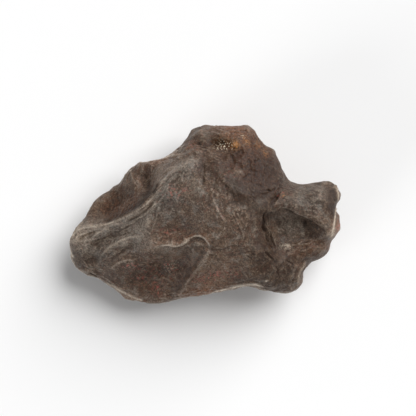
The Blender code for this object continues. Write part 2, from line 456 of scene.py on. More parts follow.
FLANK: list[Stroke] = [
    Ridge([(-78, -11.5), (-72, -7.8), (-66, -6.6)], 0.9, 2.5, 3.5),
    Ridge([(-71, -17), (-66, -12.5), (-61, -9.5), (-54, -8)], 1.2, 2.0, 5.0),
    Ridge([(-61, -25), (-56.5, -19.5), (-49, -15.2), (-43, -13), (-36, -13.5)], 1.1, 2.0, 7.0),
    Ridge([(-55.5, -33), (-52, -29.5), (-46, -27), (-40, -27)], 0.9, 2.0, 5.0),
    Ridge([(-79, -22), (-74, -20.5), (-70, -23)], 0.7, 2.5, 3.5),
    Thumbprint(-66, -25, 7, 4, 40, 1.2),
    Thumbprint(-73, -28, 5, 4, 60, 1.0),
    Thumbprint(-68, -14.5, 5, 2.5, 40, 0.8),
    Braid([(-80, -17), (-76, -10), (-68, -6.5)], 3.5, 12, 0.7, 0.8, 11),
    Braid([(-76, -18), (-66, -13), (-55, -9.5), (-44, -4)], 4.5, 14, 0.45, 1.0, 12),
    Braid([(-72, -27), (-62, -21), (-52, -16), (-41, -10)], 4.5, 16, 0.45, 1.0, 13),
    Braid([(-66, -33), (-58, -27), (-48, -22), (-38, -19)], 4.0, 12, 0.4, 1.0, 14),
    Braid([(-79, -26), (-70, -32), (-60, -38)], 3.0, 8, 0.5, 1.0, 15),
]
SHOULDER: list[Stroke] = [
    Thumbprint(-56, 6, 15, 7, 42, 2.2),
    Thumbprint(-46, 13, 6, 5, 42, 0.9),
    Thumbprint(-35, 21, 8, 5, 65, 1.3),
    Ridge([(-44.5, 27), (-43, 22), (-41.5, 17)], 1.1, 1.6, 3.0),
    Ridge([(-27.2, 18.5), (-29, 14.5), (-31, 11.5)], -1.8, 1.1, 1.1),
    Ridge([(-26, 29), (-30, 22), (-32, 16)], 0.6, 2.5, 2.5),
    Braid([(-66, 2), (-58, 7), (-50, 14)], 5.0, 12, 0.35, 0.9, 21),
    Braid([(-47, 1), (-48, 8), (-46, 15)], 6.0, 12, 0.4, 0.8, 23),
    Braid([(-36, 28), (-34, 20), (-37, 12)], 4.0, 8, 0.35, 1.0, 22),
]
LIP: list[Stroke] = [
    Scarp(
        [(2.8, -19.6), (1.6, -16), (-1.3, -13.5), (-5.2, -12.9), (-8.5, -14.1), (-11.3, -16.6),
         (-14.6, -18.4), (-18, -19), (-21.8, -18.4), (-26.8, -18.6), (-31, -20.4)],
        -0.4, -0.5, 7.0, 4.0, 0.4, 0.08,
    ),
    Thumbprint(-14, -11, 14, 5, 12, 1.0),
    Thumbprint(-4, -17, 4.5, 3.0, 0, -1.1),
    Ridge(
        [(2.8, -19.9), (0.4, -25.4), (-4.1, -32.1), (-8.5, -37.7), (-11.8, -43.2), (-16.3, -48.8)],
        1.5, 12.0, 3.5, 0.05,
    ),
    Ridge([(3.0, -19.8), (10, -20.3), (15, -18.6), (22, -18)], -0.5, 1.0, 2.5),
    Thumbprint(-33, -36, 16, 9, 22, 1.9),
    Thumbprint(-14, -28, 8, 5, 50, 1.2),
    Ridge([(-40, -30), (-33, -31.5), (-27, -30)], 0.6, 2.0, 2.0),
    Ridge([(-30, -40), (-24, -38), (-18, -40)], 0.6, 2.0, 2.0),
    Braid([(-50, -32), (-36, -30), (-22, -26)], 6.0, 10, 0.35, 1.0, 31),
    Braid([(-44, -44), (-30, -40), (-18, -40)], 6.0, 10, 0.35, 1.0, 32),
    Braid([(4, -22), (4, -32), (-4, -44)], 5.0, 8, 0.3, 1.0, 33),
    Braid([(14, -22), (12, -32), (6, -42)], 8.0, 12, 0.3, 1.1, 34),
    Braid([(-30, -14), (-18, -12), (-6, -9)], 4.0, 9, 0.3, 1.1, 35),
]
CROWN: list[Stroke] = [
    Ridge([(3.7, 12), (5.9, 6.7), (9.2, -0.5), (12.5, -5)], 0.4, 1.2, 1.6),
    Ridge([(15, 4), (19.5, -5.5), (22, -11), (22.6, -16)], 0.6, 1.5, 2.0),
    Ridge([(-1.3, 31), (-0.7, 24), (-1.3, 16)], -0.7, 2.0, 2.0),
    Thumbprint(12, 12, 7, 5, 20, 0.4),
    Thumbprint(-8, 3, 8, 5, -30, 0.9),
    Thumbprint(14, 30, 7, 5, 0, 0.9),
    Thumbprint(26, 20, 7, 6, 40, 1.0),
    Thumbprint(4, -9, 6, 4, 0, 0.8),
    Thumbprint(20, 8, 6, 5, 0, 0.8),
    Braid([(-10, 30), (-9, 20), (-8, 12)], 7.0, 10, 0.25, 1.2, 41),
    Braid([(-18, 4), (-7, 3.5), (3, 3)], 7.0, 12, 0.25, 0.8, 46),
    Braid([(4, 26), (8, 10), (13, -8)], 9.0, 14, 0.2, 1.2, 42),
    Braid([(18, 24), (20, 6), (23, -16)], 8.0, 12, 0.2, 1.2, 43),
    Braid([(20, 36), (30, 24), (38, 10)], 8.0, 14, 0.4, 1.2, 44),
    Braid([(12, -24), (24, -26), (36, -30)], 8.0, 12, 0.3, 1.2, 45),
]
KNOB: list[Stroke] = [
    Ridge([(-7, 42.5), (0, 41), (6, 42.5), (12, 41)], -1.2, 3.0, 2.0),
    Thumbprint(6, 42, 5, 3, 0, 1.2),
    Thumbprint(14, 47, 6, 3, 0, 0.7),
    Ridge([(25, 51), (27, 45), (31, 40)], 0.9, 2.0, 2.5),
    Ridge([(-9, 45), (-5, 47), (-1, 51)], 0.8, 1.5, 2.5),
    Braid([(-6, 47), (8, 48), (24, 46)], 4.5, 12, 0.4, 1.1, 51),
    Braid([(-8, 40), (4, 36), (18, 37)], 4.0, 12, 0.45, 1.1, 52),
]
HOLLOW: list[Stroke] = [
    Ridge([(44.5, 18.6), (43.6, 15.6), (42.2, 13.4), (41.2, 9.6), (39.4, 7.6), (38.4, 3.4)], -1.0, 0.9, 2.2),
    Braid([(44.8, 19), (42.5, 12), (39, 4)], 1.6, 9, -1.1, 0.7, 64),
    Braid([(30, 19), (37, 15), (43, 14)], 3.0, 8, -0.7, 0.7, 65),
    Ridge(
        [(35.2, 1.5), (34.6, -1.4), (35.2, -5), (34.9, -8.2), (37.0, -12), (38.6, -16.8), (41.8, -21)],
        -1.3, 0.9, 2.6, 0.1,
    ),
    Braid([(35.6, 2), (35.6, -6), (38.6, -14), (42, -22)], 1.5, 12, -1.3, 0.7, 66),
    Braid([(35.3, -20.5), (39.6, -25), (44.2, -30)], 1.0, 7, -1.2, 0.7, 67),
    Ridge([(48.3, -27), (52.3, -30)], -1.0, 0.9, 1.0),
    Thumbprint(61, -5, 8, 5, -22, 0.8),
    Thumbprint(67, -8, 5, 4, -40, 0.5),
    Thumbprint(58.6, -6.5, 1.6, 2.6, 10, 1.2),
    Thumbprint(52, -9, 8, 6, -20, -1.4),
    Thumbprint(44, -8, 4, 7, 10, 0.7),
    Ridge([(60, -17), (66, -15), (70.3, -12.5), (73.8, -10)], 0.8, 2.5, 3.0),
    Ridge([(45, -17.5), (48, -18.5), (50.5, -21)], 0.7, 1.2, 1.5),
    Thumbprint(58, -22, 7, 3.5, 10, 0.8),
    Scarp([(44, 4.4), (50, 2.2), (56, -1), (62, -4.2), (68, -7.4), (73, -10)], 0.5, 1.6, 3.0, 7.0, 0.8, 0.35),
    Braid([(42, 4), (45, -6), (48, -16)], 4.5, 11, 0.22, 0.9, 61),
    Braid([(52, 1), (55, -7), (57, -14)], 5.0, 11, 0.2, 0.9, 68),
    Braid([(62, -5), (64, -10), (67, -14)], 3.5, 7, 0.2, 0.9, 69),
    Braid([(44, -20), (56, -20), (68, -17)], 3.5, 16, 0.55, 0.9, 62),
    Braid([(36, -2), (38, -12), (42, -20)], 2.5, 8, 0.5, 0.8, 63),
]
ARM: list[Stroke] = [
    Ridge(
        [(76.5, 18), (78, 14), (78.5, 8.2), (78, 3), (76.5, -2.1), (75.6, -7.3), (74.5, -14)],
        2.0, 1.0, 6.0, 0.06,
    ),
    Thumbprint(73.5, 9, 3.5, 8, 0, 0.7),
    Thumbprint(58, 9, 6, 4, 10, 0.6),
    Thumbprint(67, 6, 5, 3.5, 60, 0.6),
    Thumbprint(60, 15, 6, 2.5, 0, 0.6),
    Braid([(44, 12), (58, 11), (73, 12)], 6.5, 22, 0.2, 0.9, 71),
    Braid([(52, 6), (64, 2), (73, -2)], 4.0, 12, 0.2, 0.9, 72),
]
CORNER: list[Stroke] = [
    Ridge([(60.3, -27.7), (56, -34.3), (54.7, -42.1)], 1.5, 1.4, 4.0),
    Ridge([(55, -29), (51.5, -36), (50.5, -44)], 0.9, 1.2, 3.0),
    Thumbprint(45, -35, 8, 6, 60, 1.2),
    Thumbprint(33, -30, 7, 6, 20, 1.1),
    Thumbprint(20, -31, 7, 5, -40, 1.0),
    Ridge([(12, -42.5), (20, -41), (28, -40), (36, -43)], 0.4, 1.2, 1.5),
    Braid([(12, -44), (26, -41.5), (38, -44), (50, -45)], 1.6, 10, 0.45, 0.8, 81),
    Braid([(46, -24), (46, -34), (44, -42)], 7.0, 12, 0.35, 1.2, 82),
    Braid([(-30, -50), (-16, -48), (0, -45), (12, -42)], 2.0, 9, 0.4, 0.8, 83),
    Braid([(-76, -30), (-62, -38), (-52, -44), (-40, -50)], 2.0, 11, 0.5, 0.8, 84),
]
WORN: list[Wear] = [
    Wear(54, -7, 27, 17, -12, 1.0),
    Wear(0, -28, 16, 10, 55, 0.8),
    Wear(61, 11, 17, 9, -5, 0.8),
    Wear(-9, 12, 13, 17, 0, 0.7),
]
OUTLINE: list[Spur] = [
    Spur(77, 19, 20, 3.0, 0.3, 3.0),
    Spur(82, 12, 18, 2.5, 2.0, 2.5),
    Spur(79.5, 4.5, 17, 2.2, -0.5, 2.5),
    Spur(81.5, -1, 15, 2.5, 1.9, 2.0),
    Spur(81, -7, 15, 4.0, 0.5, 2.0),
    Spur(75.5, -16.5, 16, 2.5, -0.7, 2.0),
    Spur(74, -21, 17, 2.5, 0.6, 2.0),
    Spur(63, -29, 18, 3.0, -0.8, 2.5),
    Spur(58, -33.5, 18, 2.5, -0.8, 2.5),
    Spur(59.5, -40, 16, 3.0, 0.8, 2.5),
    Spur(55, -45.5, 17, 3.0, 0.9, 2.5),
    Spur(49, -47, 18, 3.0, 0.9, 2.5),
    Spur(25.5, 53, 24, 3.5, 1.0, 3.0),
    Spur(-8, 50, 24, 3.5, 0.7, 3.0),
    Spur(31, 44, 26, 3.0, -0.9, 3.0),
    Spur(40.5, 37.5, 26, 2.5, 0.8, 3.0),
    Spur(45, 28, 24, 4.0, -0.8, 3.0),
    Spur(-43, 31.5, 22, 3.5, -1.2, 2.5),
    Spur(-36, 33, 22, 2.5, 0.4, 2.5),
    Spur(-60, 14, 20, 5.0, -1.6, 2.5),
    Spur(-81, -13, 19, 3.5, 0.5, 2.0),
    Spur(-81.5, -13.5, 17, 2.5, -1.2, 2.0),
    Spur(-82, -21, 16, 3.0, 0.9, 2.0),
    Spur(-80.5, -25.5, 16, 3.0, 1.7, 2.0),
    Spur(-78, -29, 16, 3.0, 0.6, 2.0),
    Spur(-56, -45, 14, 2.5, -0.9, 2.0),
    Spur(-47.5, -50.5, 14, 2.5, 1.0, 1.5),
    Spur(-41, -51.5, 14, 2.0, -0.7, 1.5),
    Spur(-32.5, -54.5, 15, 3.0, 0.9, 2.0),
    Spur(-22, -52, 16, 3.0, 0.5, 2.0),
    Spur(0, -47.5, 20, 3.5, 0.8, 2.0),
    Spur(9.5, -45.5, 20, 3.0, 0.8, 2.0),
    Spur(17.5, -44, 20, 3.0, 1.1, 2.0),
    Spur(27, -41.5, 20, 2.5, -0.3, 2.0),
]

MARKS: dict[Tint, list[Mark]] = {
    # Rubbed wear on the crests, and painted highlights on the left tip, the lip's edge, crest lines and the
    # hollow's floor.
    Tint.PALE: [
        Stain(-71, -11, 7, 5, 30, 0.9), Stain(-77.5, -10, 6, 7, 50, 2.6), Stain(-38, -4, 10, 5, 30, 0.6),
        Stain(-7, 18, 5, 7, 0, 0.3), Stain(11, 22.5, 3, 3, 0, 0.3), Stain(-15, 18.5, 3, 2, 0, 0.4),
        Stain(75, -12, 4, 5, 0, 0.5), Stain(2, -2, 8, 5, 0, 0.2), Stain(9, -34, 14, 8, 20, 0.3),
        Stain(-39, -1, 10, 3, 35, 0.5), Stain(-66, -7, 12, 6, 10, 0.8), Stain(-43, -47, 5, 3, -30, 0.9),
        Stain(-27, 23, 4, 6, -30, 0.5), Stain(-50, -12, 22, 6, 18, 0.45), Stain(-36, -14, 12, 9, 0, 0.35),
        Stain(-22, -19, 12, 4, 0, 0.4), Stain(-16, 31, 10, 4, 25, 0.3), Stain(18.5, 25.3, 2.6, 2, 0, 0.9),
        Stain(77, -12, 4, 5, 0, 0.5), Stain(47, -6, 7, 6, -10, 0.5), Stain(48, -4, 6, 6, 0, 0.8),
        Stain(56, -5, 4, 4, 0, 0.35), Stain(52, -9, 8, 6, 0, 0.5),
        Streak([(-76, -8.5), (-64, -6.6), (-57, -5.5), (-50.5, -2.7), (-44, 0.1), (-38.5, 2.9)], 0.8, 0.8),
        Streak([(-38.5, 2.9), (-33, 6.7), (-29.5, 10.2), (-26.8, 13.5), (-25, 18), (-21.5, 21.8)], 0.7, 0.8),
        Streak([(-24, 25.5), (-18, 27.5), (-10, 31), (-2, 33)], 1.6, 0.5),
        Streak([(-28.5, 8), (-32, 0), (-34.5, -9)], 1.2, 0.5),
        Streak([(-52, -8.5), (-43, -4.8), (-36, -0.5), (-30, 5), (-26, 11)], 0.7, 0.8),
        Streak([(-78, -17), (-74, -11.5), (-68, -9)], 0.8, 0.7),
        Streak([(-71, -16.5), (-66, -12), (-60, -9.5), (-54, -8.5)], 0.8, 0.7),
        Streak([(-60, -24), (-56, -19.5), (-49, -15.2), (-43, -13)], 0.8, 0.6),
        Streak([(-26, 33), (-14, 36), (-4, 40)], 1.6, 0.4),
        Streak([(-60, -41), (-53, -44.5), (-47, -49), (-41, -50.5)], 2, 0.8, 0.1),
        Streak([(14, -43), (20, -42), (28, -40.5), (34, -42.5)], 1.3, 1, 0.1),
        Streak([(3.9, 9), (7, 3), (9, -2)], 0.7, 0.2, 0.1),
        Streak(
            [(76.8, 18.4), (78.6, 14), (79.1, 8.2), (78.5, 3), (77, -2.1), (76, -7.3), (74.9, -14)],
            0.7, 1.8, 0.05,
        ),
        Streak([(61, -27), (56.5, -34), (55.5, -43)], 1.2, 0.7, 0.05),
        Streak([(47, -17.5), (49, -20)], 2, 0.7, 0.05),
        Streak([(2.8, -19), (1.4, -15.8), (-1.4, -13.2), (-5.2, -12.5), (-8.6, -13.7)], 0.5, 1, 0.05),
        Streak(
            [(-8.5, -13.9), (-11.3, -16.3), (-14.6, -18.1), (-18, -18.7), (-21.8, -18.1), (-31, -20)],
            0.5, 1, 0.05,
        ),
    ],
    # Grey patina, laid on more thickly as a painted sheen on the left flank, the spine and the arm.
    Tint.STEEL: [
        Stain(-62, -16, 22, 13, 25, 1.5), Stain(-40, -12, 12, 8, 20, 0.8), Stain(-22, 4, 9, 7, 60, 0.9),
        Stain(29, 5, 9, 4), Stain(17, 16, 5, 4, 0, 0.6), Stain(62, 9, 16, 9, 0, 1.2), Stain(-76, -11, 8, 8),
        Stain(46, -36, 12, 8, 0, 0.7), Stain(0, 48, 9, 4, 0, 0.6), Stain(-7, 16, 6, 9, 10, 0.8),
        Stain(81, 12, 3, 4), Stain(51, -7, 9, 8, 0, 0.6),
        Streak([(-64, -10), (-48, -6.5), (-34, 0.5), (-26, 8), (-22, 17), (-12, 26.5), (0, 33)], 4.5, 1.5),
    ],
    # Painted shade in the colour: slopes turned from the key light, the hollows, the cracks and the step under
    # the arm's edge.
    Tint.DARK: [
        Stain(-54, 7, 17, 6, 42, 0.95), Stain(-43, 10, 6, 5, 42, 0.5), Stain(-37, 23, 9, 5, 65, 0.35),
        Stain(5, 41.5, 16, 5, 0, 1.1), Stain(9, 40.5, 6, 3, 0, 1.5), Stain(14, 33, 15, 8, 0, 1.2),
        Stain(26, 44, 10, 7, -40, 0.7), Stain(33, 29, 14, 13, -55, 1.2), Stain(24, 15, 14, 10),
        Stain(9, 22, 8, 10, 0, 0.35), Stain(17, 22.5, 5, 3, 40, 0.8), Stain(21, 19, 3, 4, 0, 0.8),
        Stain(19, 27.5, 4, 2.5, 0, 0.7), Stain(38, 14, 9, 9), Stain(47, 16, 5, 5, 0, 0.6),
        Stain(56, 15, 9, 5, 0, 0.25), Stain(34, -6, 7, 14), Stain(39, -24, 11, 12, 0, 1.2),
        Stain(44, -38, 13, 8, 30, 1.1), Stain(60, -21, 12, 6, 10, 0.8), Stain(56, -34, 6, 8, 0, 0.8),
        Stain(30, -20, 8, 8, 0, 0.5), Stain(75, 8, 3, 10, 0, 0.8), Stain(62, -5.5, 8, 4, -25, 0.9),
        Stain(66, -11, 5, 4, -25, 0.5), Stain(-34, -37, 20, 11, 22, 0.75), Stain(-14, -34, 10, 9, 50, 0.65),
        Stain(-25, -44, 20, 5, 15, 0.4), Stain(22, -38, 16, 6, 0, 0.6), Stain(-66, -26, 14, 6, 35, 0.5),
        Stain(2, 50, 26, 6, 0, 0.2), Stain(33, 25, 14, 9, -40, 0.5), Stain(46, 22, 5, 7, 30, 0.4),
        Stain(-2, 25, 2, 7, 0, 0.5), Stain(6, 25, 2.5, 5, 0, 0.4), Stain(-15, 23, 4, 2.5, 30, 0.6),
        Stain(38, -20, 6, 7, 0, 0.4), Stain(29, -30, 6, 6, 0, 0.3), Stain(-18, -37, 9, 9, 0, 0.4),
        Stain(77, 4, 5, 10, 0, 0.4), Stain(33, 26, 13, 13, 0, 3.2), Stain(15, 22, 8, 9, 0, 0.6),
        Stain(18, 43, 9, 5, 0, 0.8), Stain(27, 46, 5, 5, 0, 0.6), Stain(2, 46, 8, 4, 0, 0.4),
        Stain(58, 11, 14, 8, 0, 0.35), Stain(-8, 16, 9, 14, 0, 0.15), Stain(38, 15, 8, 6, 0, 1.5),
        Stain(21, 33, 11, 6, 0, 1.9), Stain(30, 42, 6, 6), Stain(24, 12, 11, 8, 0, 1.7), Stain(36, 5, 8, 6),
        Stain(29, -3, 7, 6, 0, 0.7), Stain(75, 7, 6, 13, 0, 1.4), Stain(83, -3, 4, 7, 0, 0.6),
        Stain(38, -20, 5, 6, 0, 1.3), Stain(47, -30, 6, 5, 0, 0.8), Stain(58, 6, 12, 5, 0, 0.4),
        Stain(8, 24, 8, 7, 0, 0.5), Stain(8, 50, 14, 4, 0, 0.3), Stain(-6, 24, 4, 5, 0, 0.5),
        Stain(-7, 13, 4, 6, 0, 0.15), Stain(76, 9, 6, 12, 0, 0.4), Stain(-8, -8, 12, 6, 0, 0.25),
        Stain(-75, -27, 6, 4, 40, 0.4), Stain(-64, -17, 6, 3, 30, 0.5), Stain(-77, -24, 5, 3, 60, 0.5),
        Stain(60, 12, 10, 6, 0, 0.2),
        Streak([(-62, -3), (-51.5, 0), (-44.5, 3.2), (-38.8, 6.8), (-34, 11.5), (-31, 17)], 3.2, 1.2),
        Streak([(-62, -4.4), (-53, -1.8), (-46, 1.2), (-40.2, 4.8), (-35, 9.4), (-31, 14)], 1.6, 1, 0.1),
        Streak([(31, 13), (34, 12), (33, 9.5)], 0.8, 1.3, 0.1),
        Streak([(35, 18), (39, 16.5), (40, 13.5)], 0.8, 1.3, 0.1),
        Streak([(44.8, 25), (44.3, 19)], 0.8, 1, 0.1),
        Streak([(-26.6, 18.8), (-28.4, 15.5), (-30.4, 12.8)], 0.9, 1.4),
        Streak([(-76, -16), (-71, -12), (-64, -10)], 1.2, 0.9),
        Streak([(-70, -20), (-62, -15), (-54, -12), (-46, -8)], 1.8, 0.9),
        Streak([(-57, -29), (-52, -23), (-44, -19), (-36, -17)], 2, 0.5),
        Streak([(-47, -4), (-39, -0.5), (-33, 4), (-29.5, 9)], 0.9, 0.8),
        Streak([(30, 19.5), (35, 16), (41, 14.5)], 1.4, 1, 0.1),
        Streak([(33, 12.5), (38, 10.5), (42, 9)], 1.2, 0.9, 0.1),
        Streak([(-1, -20.5), (-6, -29), (-13, -38), (-19, -47)], 3, 0.6, 0.05),
        Streak([(35.2, 1.5), (34.9, -3), (35.4, -8), (37.6, -13.5), (40.2, -18.5), (41.8, -22)], 1.3, 1.6),
        Streak([(35.3, -22), (40.3, -26), (43.8, -29.5)], 0.9, 1.3),
        Streak([(44.8, 18.8), (42.8, 13.6), (40.2, 8.4), (38.6, 3.4)], 1.3, 1.4),
        Streak([(53, -1.5), (59, -4), (66, -7), (70, -9)], 1.8, 0.4),
        Streak([(-27.2, 18.5), (-29, 14.5), (-31, 11.5)], 1, 1.4),
        Streak([(-1.3, 31), (-0.7, 24), (-1.3, 16)], 1.8, 0.5),
        Streak([(75.6, 16), (76.6, 10), (76.2, 3), (74.6, -3)], 1.9, 1.3, 0.1),
    ],
    Tint.RUST: [
        Stain(20, 47, 16, 8, -20, 2.2), Stain(34, 37, 8, 6, -60, 1.4), Stain(20, 31, 18, 9, -20, 1.3),
        Stain(30, 23, 11, 11, -40, 1.3), Stain(24, 38, 9, 6, -40), Stain(-24, -42, 18, 6, 20, 0.7),
        Stain(-44, -50, 8, 3, -20, 0.9), Stain(-7, 41, 6, 4, 0, 0.8), Stain(-25, 33, 14, 3, 20, 0.8),
        Stain(8, -35, 14, 8, 20, 0.8), Stain(0, -46, 16, 4, 10, 1.6), Stain(-57, 7, 15, 6, 42, 0.7),
        Stain(-38, 20, 8, 5, 65, 0.5), Stain(62, -20, 14, 5, 15, 0.9), Stain(-20, -12, 14, 5, 10, 0.6),
        Stain(80, -7, 3.5, 7, 0, 1.6),
        Streak([(-60, -3), (-50, 1), (-43, 5), (-37, 10)], 2.5),
        Streak([(-64, -1.5), (-54, 3), (-45, 8), (-38, 13)], 4, 0.8),
        Streak(
            [(2.8, -18), (-1, -12), (-8.5, -12.5), (-14.6, -16.8), (-22, -16.8), (-31, -18)],
            1.5, 0.8, 0.05,
        ),
    ],
    Tint.OCHRE: [
        Stain(17.7, 40.7, 2.6, 2.4, 20, 2.2), Stain(11, 42, 7, 4, 0, 0.3), Stain(24.5, 43, 2.2, 3.5, 30, 0.7),
        Stain(35.8, 36, 1.6, 3.2, 20, 0.7), Stain(31, 41, 2, 3, 20, 0.5), Stain(45.5, 11.3, 1.3, 1, 0, 0.8),
    ],
    Tint.RED: [
        Stain(-30, -34, 20, 9, 20, 0.35), Stain(-44, -31, 4.5, 2, 0, 1.6),
        Stain(-39.3, -37.2, 2.2, 2, 0, 1.6), Stain(-19, -30.5, 4.5, 2.4, -20, 1.6),
        Stain(-28.5, -44, 2.4, 5, 0, 1.4), Stain(2, -37, 9, 3.5, 10, 1.3), Stain(16, -34.5, 5, 3),
        Stain(-17, 13, 8, 4, 0, 0.6), Stain(44, 12, 4, 3, 0, 0.9), Stain(16, 24, 7, 4, 0, 0.7),
        Stain(-20, -10, 8, 3, 0, 0.3), Stain(-7, 41, 4, 3, 0, 0.8), Stain(80.5, -7, 2.5, 5),
        Streak([(6, 6), (9, 0), (12, -3)], 1.5, 0.2),
    ],
    Tint.SALT: [
        Stain(11, 40.5, 6, 3.2, 0, 1.5), Stain(21.5, 46, 3, 1.6, 0, 0.6), Stain(48, -19, 4, 2, -20, 0.9),
        Stain(58, -11.5, 1.2, 1.6, 0, 0.9), Stain(36.3, -39, 0.9, 0.7, 0, 2), Stain(-20, -30, 5, 5, 0, 0.4),
    ],
    # Painted rim highlight: pale bands along the outline, where the floor's light would glance off the walls.
    Tint.RIM: [
        Streak(
            [(-78, -4), (-82, -14), (-82, -22), (-79, -28), (-72, -34), (-64, -39), (-56, -44)],
            4, 0.9, 0.05,
        ),
        Streak(
            [(-56, -44), (-48, -49.5), (-41, -52), (-33, -54.5), (-22, -52.5), (-8, -49), (8, -46.5)],
            3.5, 0.45, 0.02,
        ),
        Streak(
            [(0, -48), (10, -46), (20, -43.5), (28, -42), (36, -45), (50, -47), (58, -43)],
            3.5, 0.4, 0.05,
        ),
        Streak([(58, -43), (58, -34), (64, -28), (73, -22)], 3, 0.25, 0.05),
        Streak([(83, 14), (80, 3), (83, -6), (79, -15)], 3, 0.25, 0.05),
        Streak([(-72, 0), (-60, 12), (-48, 24), (-38, 32), (-26, 33), (-12, 43)], 3, 0.8, 0.05),
    ],
    # Bared metal and painted highlights: thin bright lines on the crests, the lip and the lower edge, where
    # light catches them.
    Tint.BARE: [
        Stain(36.3, -39.2, 0.9, 0.6, 20, 1.6), Stain(58, -11.5, 0.8, 1.2, 0, 0.9),
        Stain(49, -18.5, 2.2, 1.6, 0, 0.35), Stain(20.3, 25, 2.4, 1.6, 0, 0.2),
        Stain(16, 22.5, 2.6, 1.8, 0, 0.13), Stain(13.4, 9.9, 1.3, 1.2, 0, 0.2),
        Streak([(2.4, -21), (-1, -26), (-5, -32), (-9.5, -38), (-13, -43.5)], 0.4, 0.25, 0.1),
        Streak(
            [(-62, -7), (-53.5, -4), (-46.5, -1.4), (-40.3, 2.2), (-33.5, 6.6), (-28.6, 12)],
            0.5, 0.6, 0.1,
        ),
        Streak([(-28.6, 12), (-25.6, 18), (-21.3, 23.6), (-15.3, 29)], 0.5, 0.35, 0.1),
        Streak([(-80.3, -14), (-77.5, -10.5), (-73.3, -8), (-63.3, -7)], 0.6, 0.8, 0.1),
        Streak([(-79.5, -17.5), (-76.5, -13.5), (-70.3, -10.5), (-60.3, -8)], 0.5, 0.5, 0.1),
        Streak([(-69.3, -17), (-64.3, -11.6), (-57.3, -7.4), (-49.3, -4.4)], 0.5, 0.35, 0.1),
        Streak([(-62.3, -25), (-57.3, -19.6), (-50.3, -15.4), (-43.3, -13), (-35, -12.5)], 0.5, 0.3, 0.1),
        Streak([(-56.3, -33), (-52.3, -29), (-45.3, -26.5)], 0.5, 0.4, 0.1),
        Streak([(78.6, 17), (79.3, 12), (79.2, 6), (77, -2), (76, -8), (75.2, -14)], 0.5, 0.75, 0.05),
        Streak([(2.6, -18.6), (1.2, -15.6), (-1.5, -12.9), (-5.2, -12.1), (-8.4, -13.3)], 0.4, 0.4, 0.05),
        Streak(
            [(-8.4, -13.3), (-11.2, -15.8), (-14.6, -17.6), (-18, -18.2), (-22, -17.8), (-29, -19.5)],
            0.4, 0.4, 0.05,
        ),
        Streak([(4, -46.6), (9, -45.4), (15, -44), (22, -42.6), (29, -41.6), (36, -43.6)], 0.7, 1, 0.15),
        Streak([(-57, -42), (-50, -46.4), (-43, -50), (-37, -52)], 0.8, 0.8, 0.1),
        Streak([(-80.2, -9), (-82, -15), (-82, -21), (-78.5, -26.5)], 0.8, 1, 0.1),
        Streak([(59.8, -30), (56.2, -35), (55, -42)], 0.5, 0.4, 0.1),
        Streak([(5, 8), (7.5, 3), (10, -1), (12, -3)], 0.5, 0.15),
    ],
}


@dataclass(frozen=True)
class Ramp:
    """A soft ramp from one value, at its low end, to another at its high end, and held beyond them."""

    low: float
    high: float
    start: float = 0.0
    end: float = 1.0


@dataclass(frozen=True)
class Pattern:
    """The numbers of a noise, with its scale in repeats for each millimetre."""

    scale: object
    detail: float = 2.0
    rough: float = 0.5
    distortion: float = 0.0


class Nodes:
    """A small helper that adds nodes to a tree and joins them."""

    def __init__(self, tree: bpy.types.NodeTree) -> None:
        """Starts on an empty tree."""
        self.tree = tree
        tree.nodes.clear()

    def add(self, kind: str, inputs: dict | None = None, **settings: object) -> bpy.types.Node:
        """Adds a node.

        Args:
            kind: The node's type name.
            inputs: Values or output sockets, by input name or index.
            settings: The node's own settings.

        Returns:
            The new node.
        """
        node = self.tree.nodes.new(kind)
        for name, value in settings.items():
            setattr(node, name, value)
        for key, value in (inputs or {}).items():
            self._give(node.inputs[key], value)
        return node

    def _give(self, socket: bpy.types.NodeSocket, value: object) -> None:
        """Links an input to another node's output, or sets it to a plain value.

        Args:
            socket: The input.
            value: An output socket, a colour or a number.
        """
        if isinstance(value, bpy.types.NodeSocket):
            self.tree.links.new(value, socket)
        elif isinstance(value, tuple):
            socket.default_value = (*value, 1.0)
        else:
            socket.default_value = value

    def maths(self, operation: str, a: object, b: object = 0.0, clamp: bool = False) -> bpy.types.NodeSocket:
        """The result of a Math node on two values or sockets."""
        return self.add("ShaderNodeMath", {0: a, 1: b}, operation=operation, use_clamp=clamp).outputs[0]

    def vector(self, operation: str, a: object, b: object) -> bpy.types.NodeSocket:
        """The result of a Vector Math node, on two vectors or on a vector and a length to scale it by."""
        second = 3 if operation == "SCALE" else 1
        return self.add("ShaderNodeVectorMath", {0: a, second: b}, operation=operation).outputs[0]

    def ramp(self, value: object, ramp: Ramp) -> bpy.types.NodeSocket:
        """A value led up a ramp."""
        inputs = {0: value, 1: ramp.low, 2: ramp.high, 3: ramp.start, 4: ramp.end}
        return self.add("ShaderNodeMapRange", inputs, interpolation_type="SMOOTHSTEP").outputs[0]

    def noise(self, where: object, pattern: Pattern, output: int | str = 0) -> bpy.types.NodeSocket:
        """A Noise Texture.

        Args:
            where: The place to read it at, in millimetres.
            pattern: Its numbers.
            output: Which of its outputs to use.

        Returns:
            That output.
        """
        inputs = {
            "Vector": where,
            "Scale": pattern.scale,
            "Detail": pattern.detail,
            "Roughness": pattern.rough,
            "Distortion": pattern.distortion,
        }
        return self.add("ShaderNodeTexNoise", inputs).outputs[output]

    def blend(self, share: object, a: object, b: object, kind: str = "MIX") -> bpy.types.NodeSocket:
        """Mixes two colours.

        Args:
            share: How much of the second colour there is, as a number or a socket.
            a: The first colour.
            b: The second colour.
            kind: How the second colour is laid on the first.

        Returns:
            The mixed colour.
        """
        node = self.add("ShaderNodeMix", data_type="RGBA", blend_type=kind)
        for index, value in ((0, share), (6, a), (7, b)):
            self._give(node.inputs[index], value)
        return node.outputs[2]


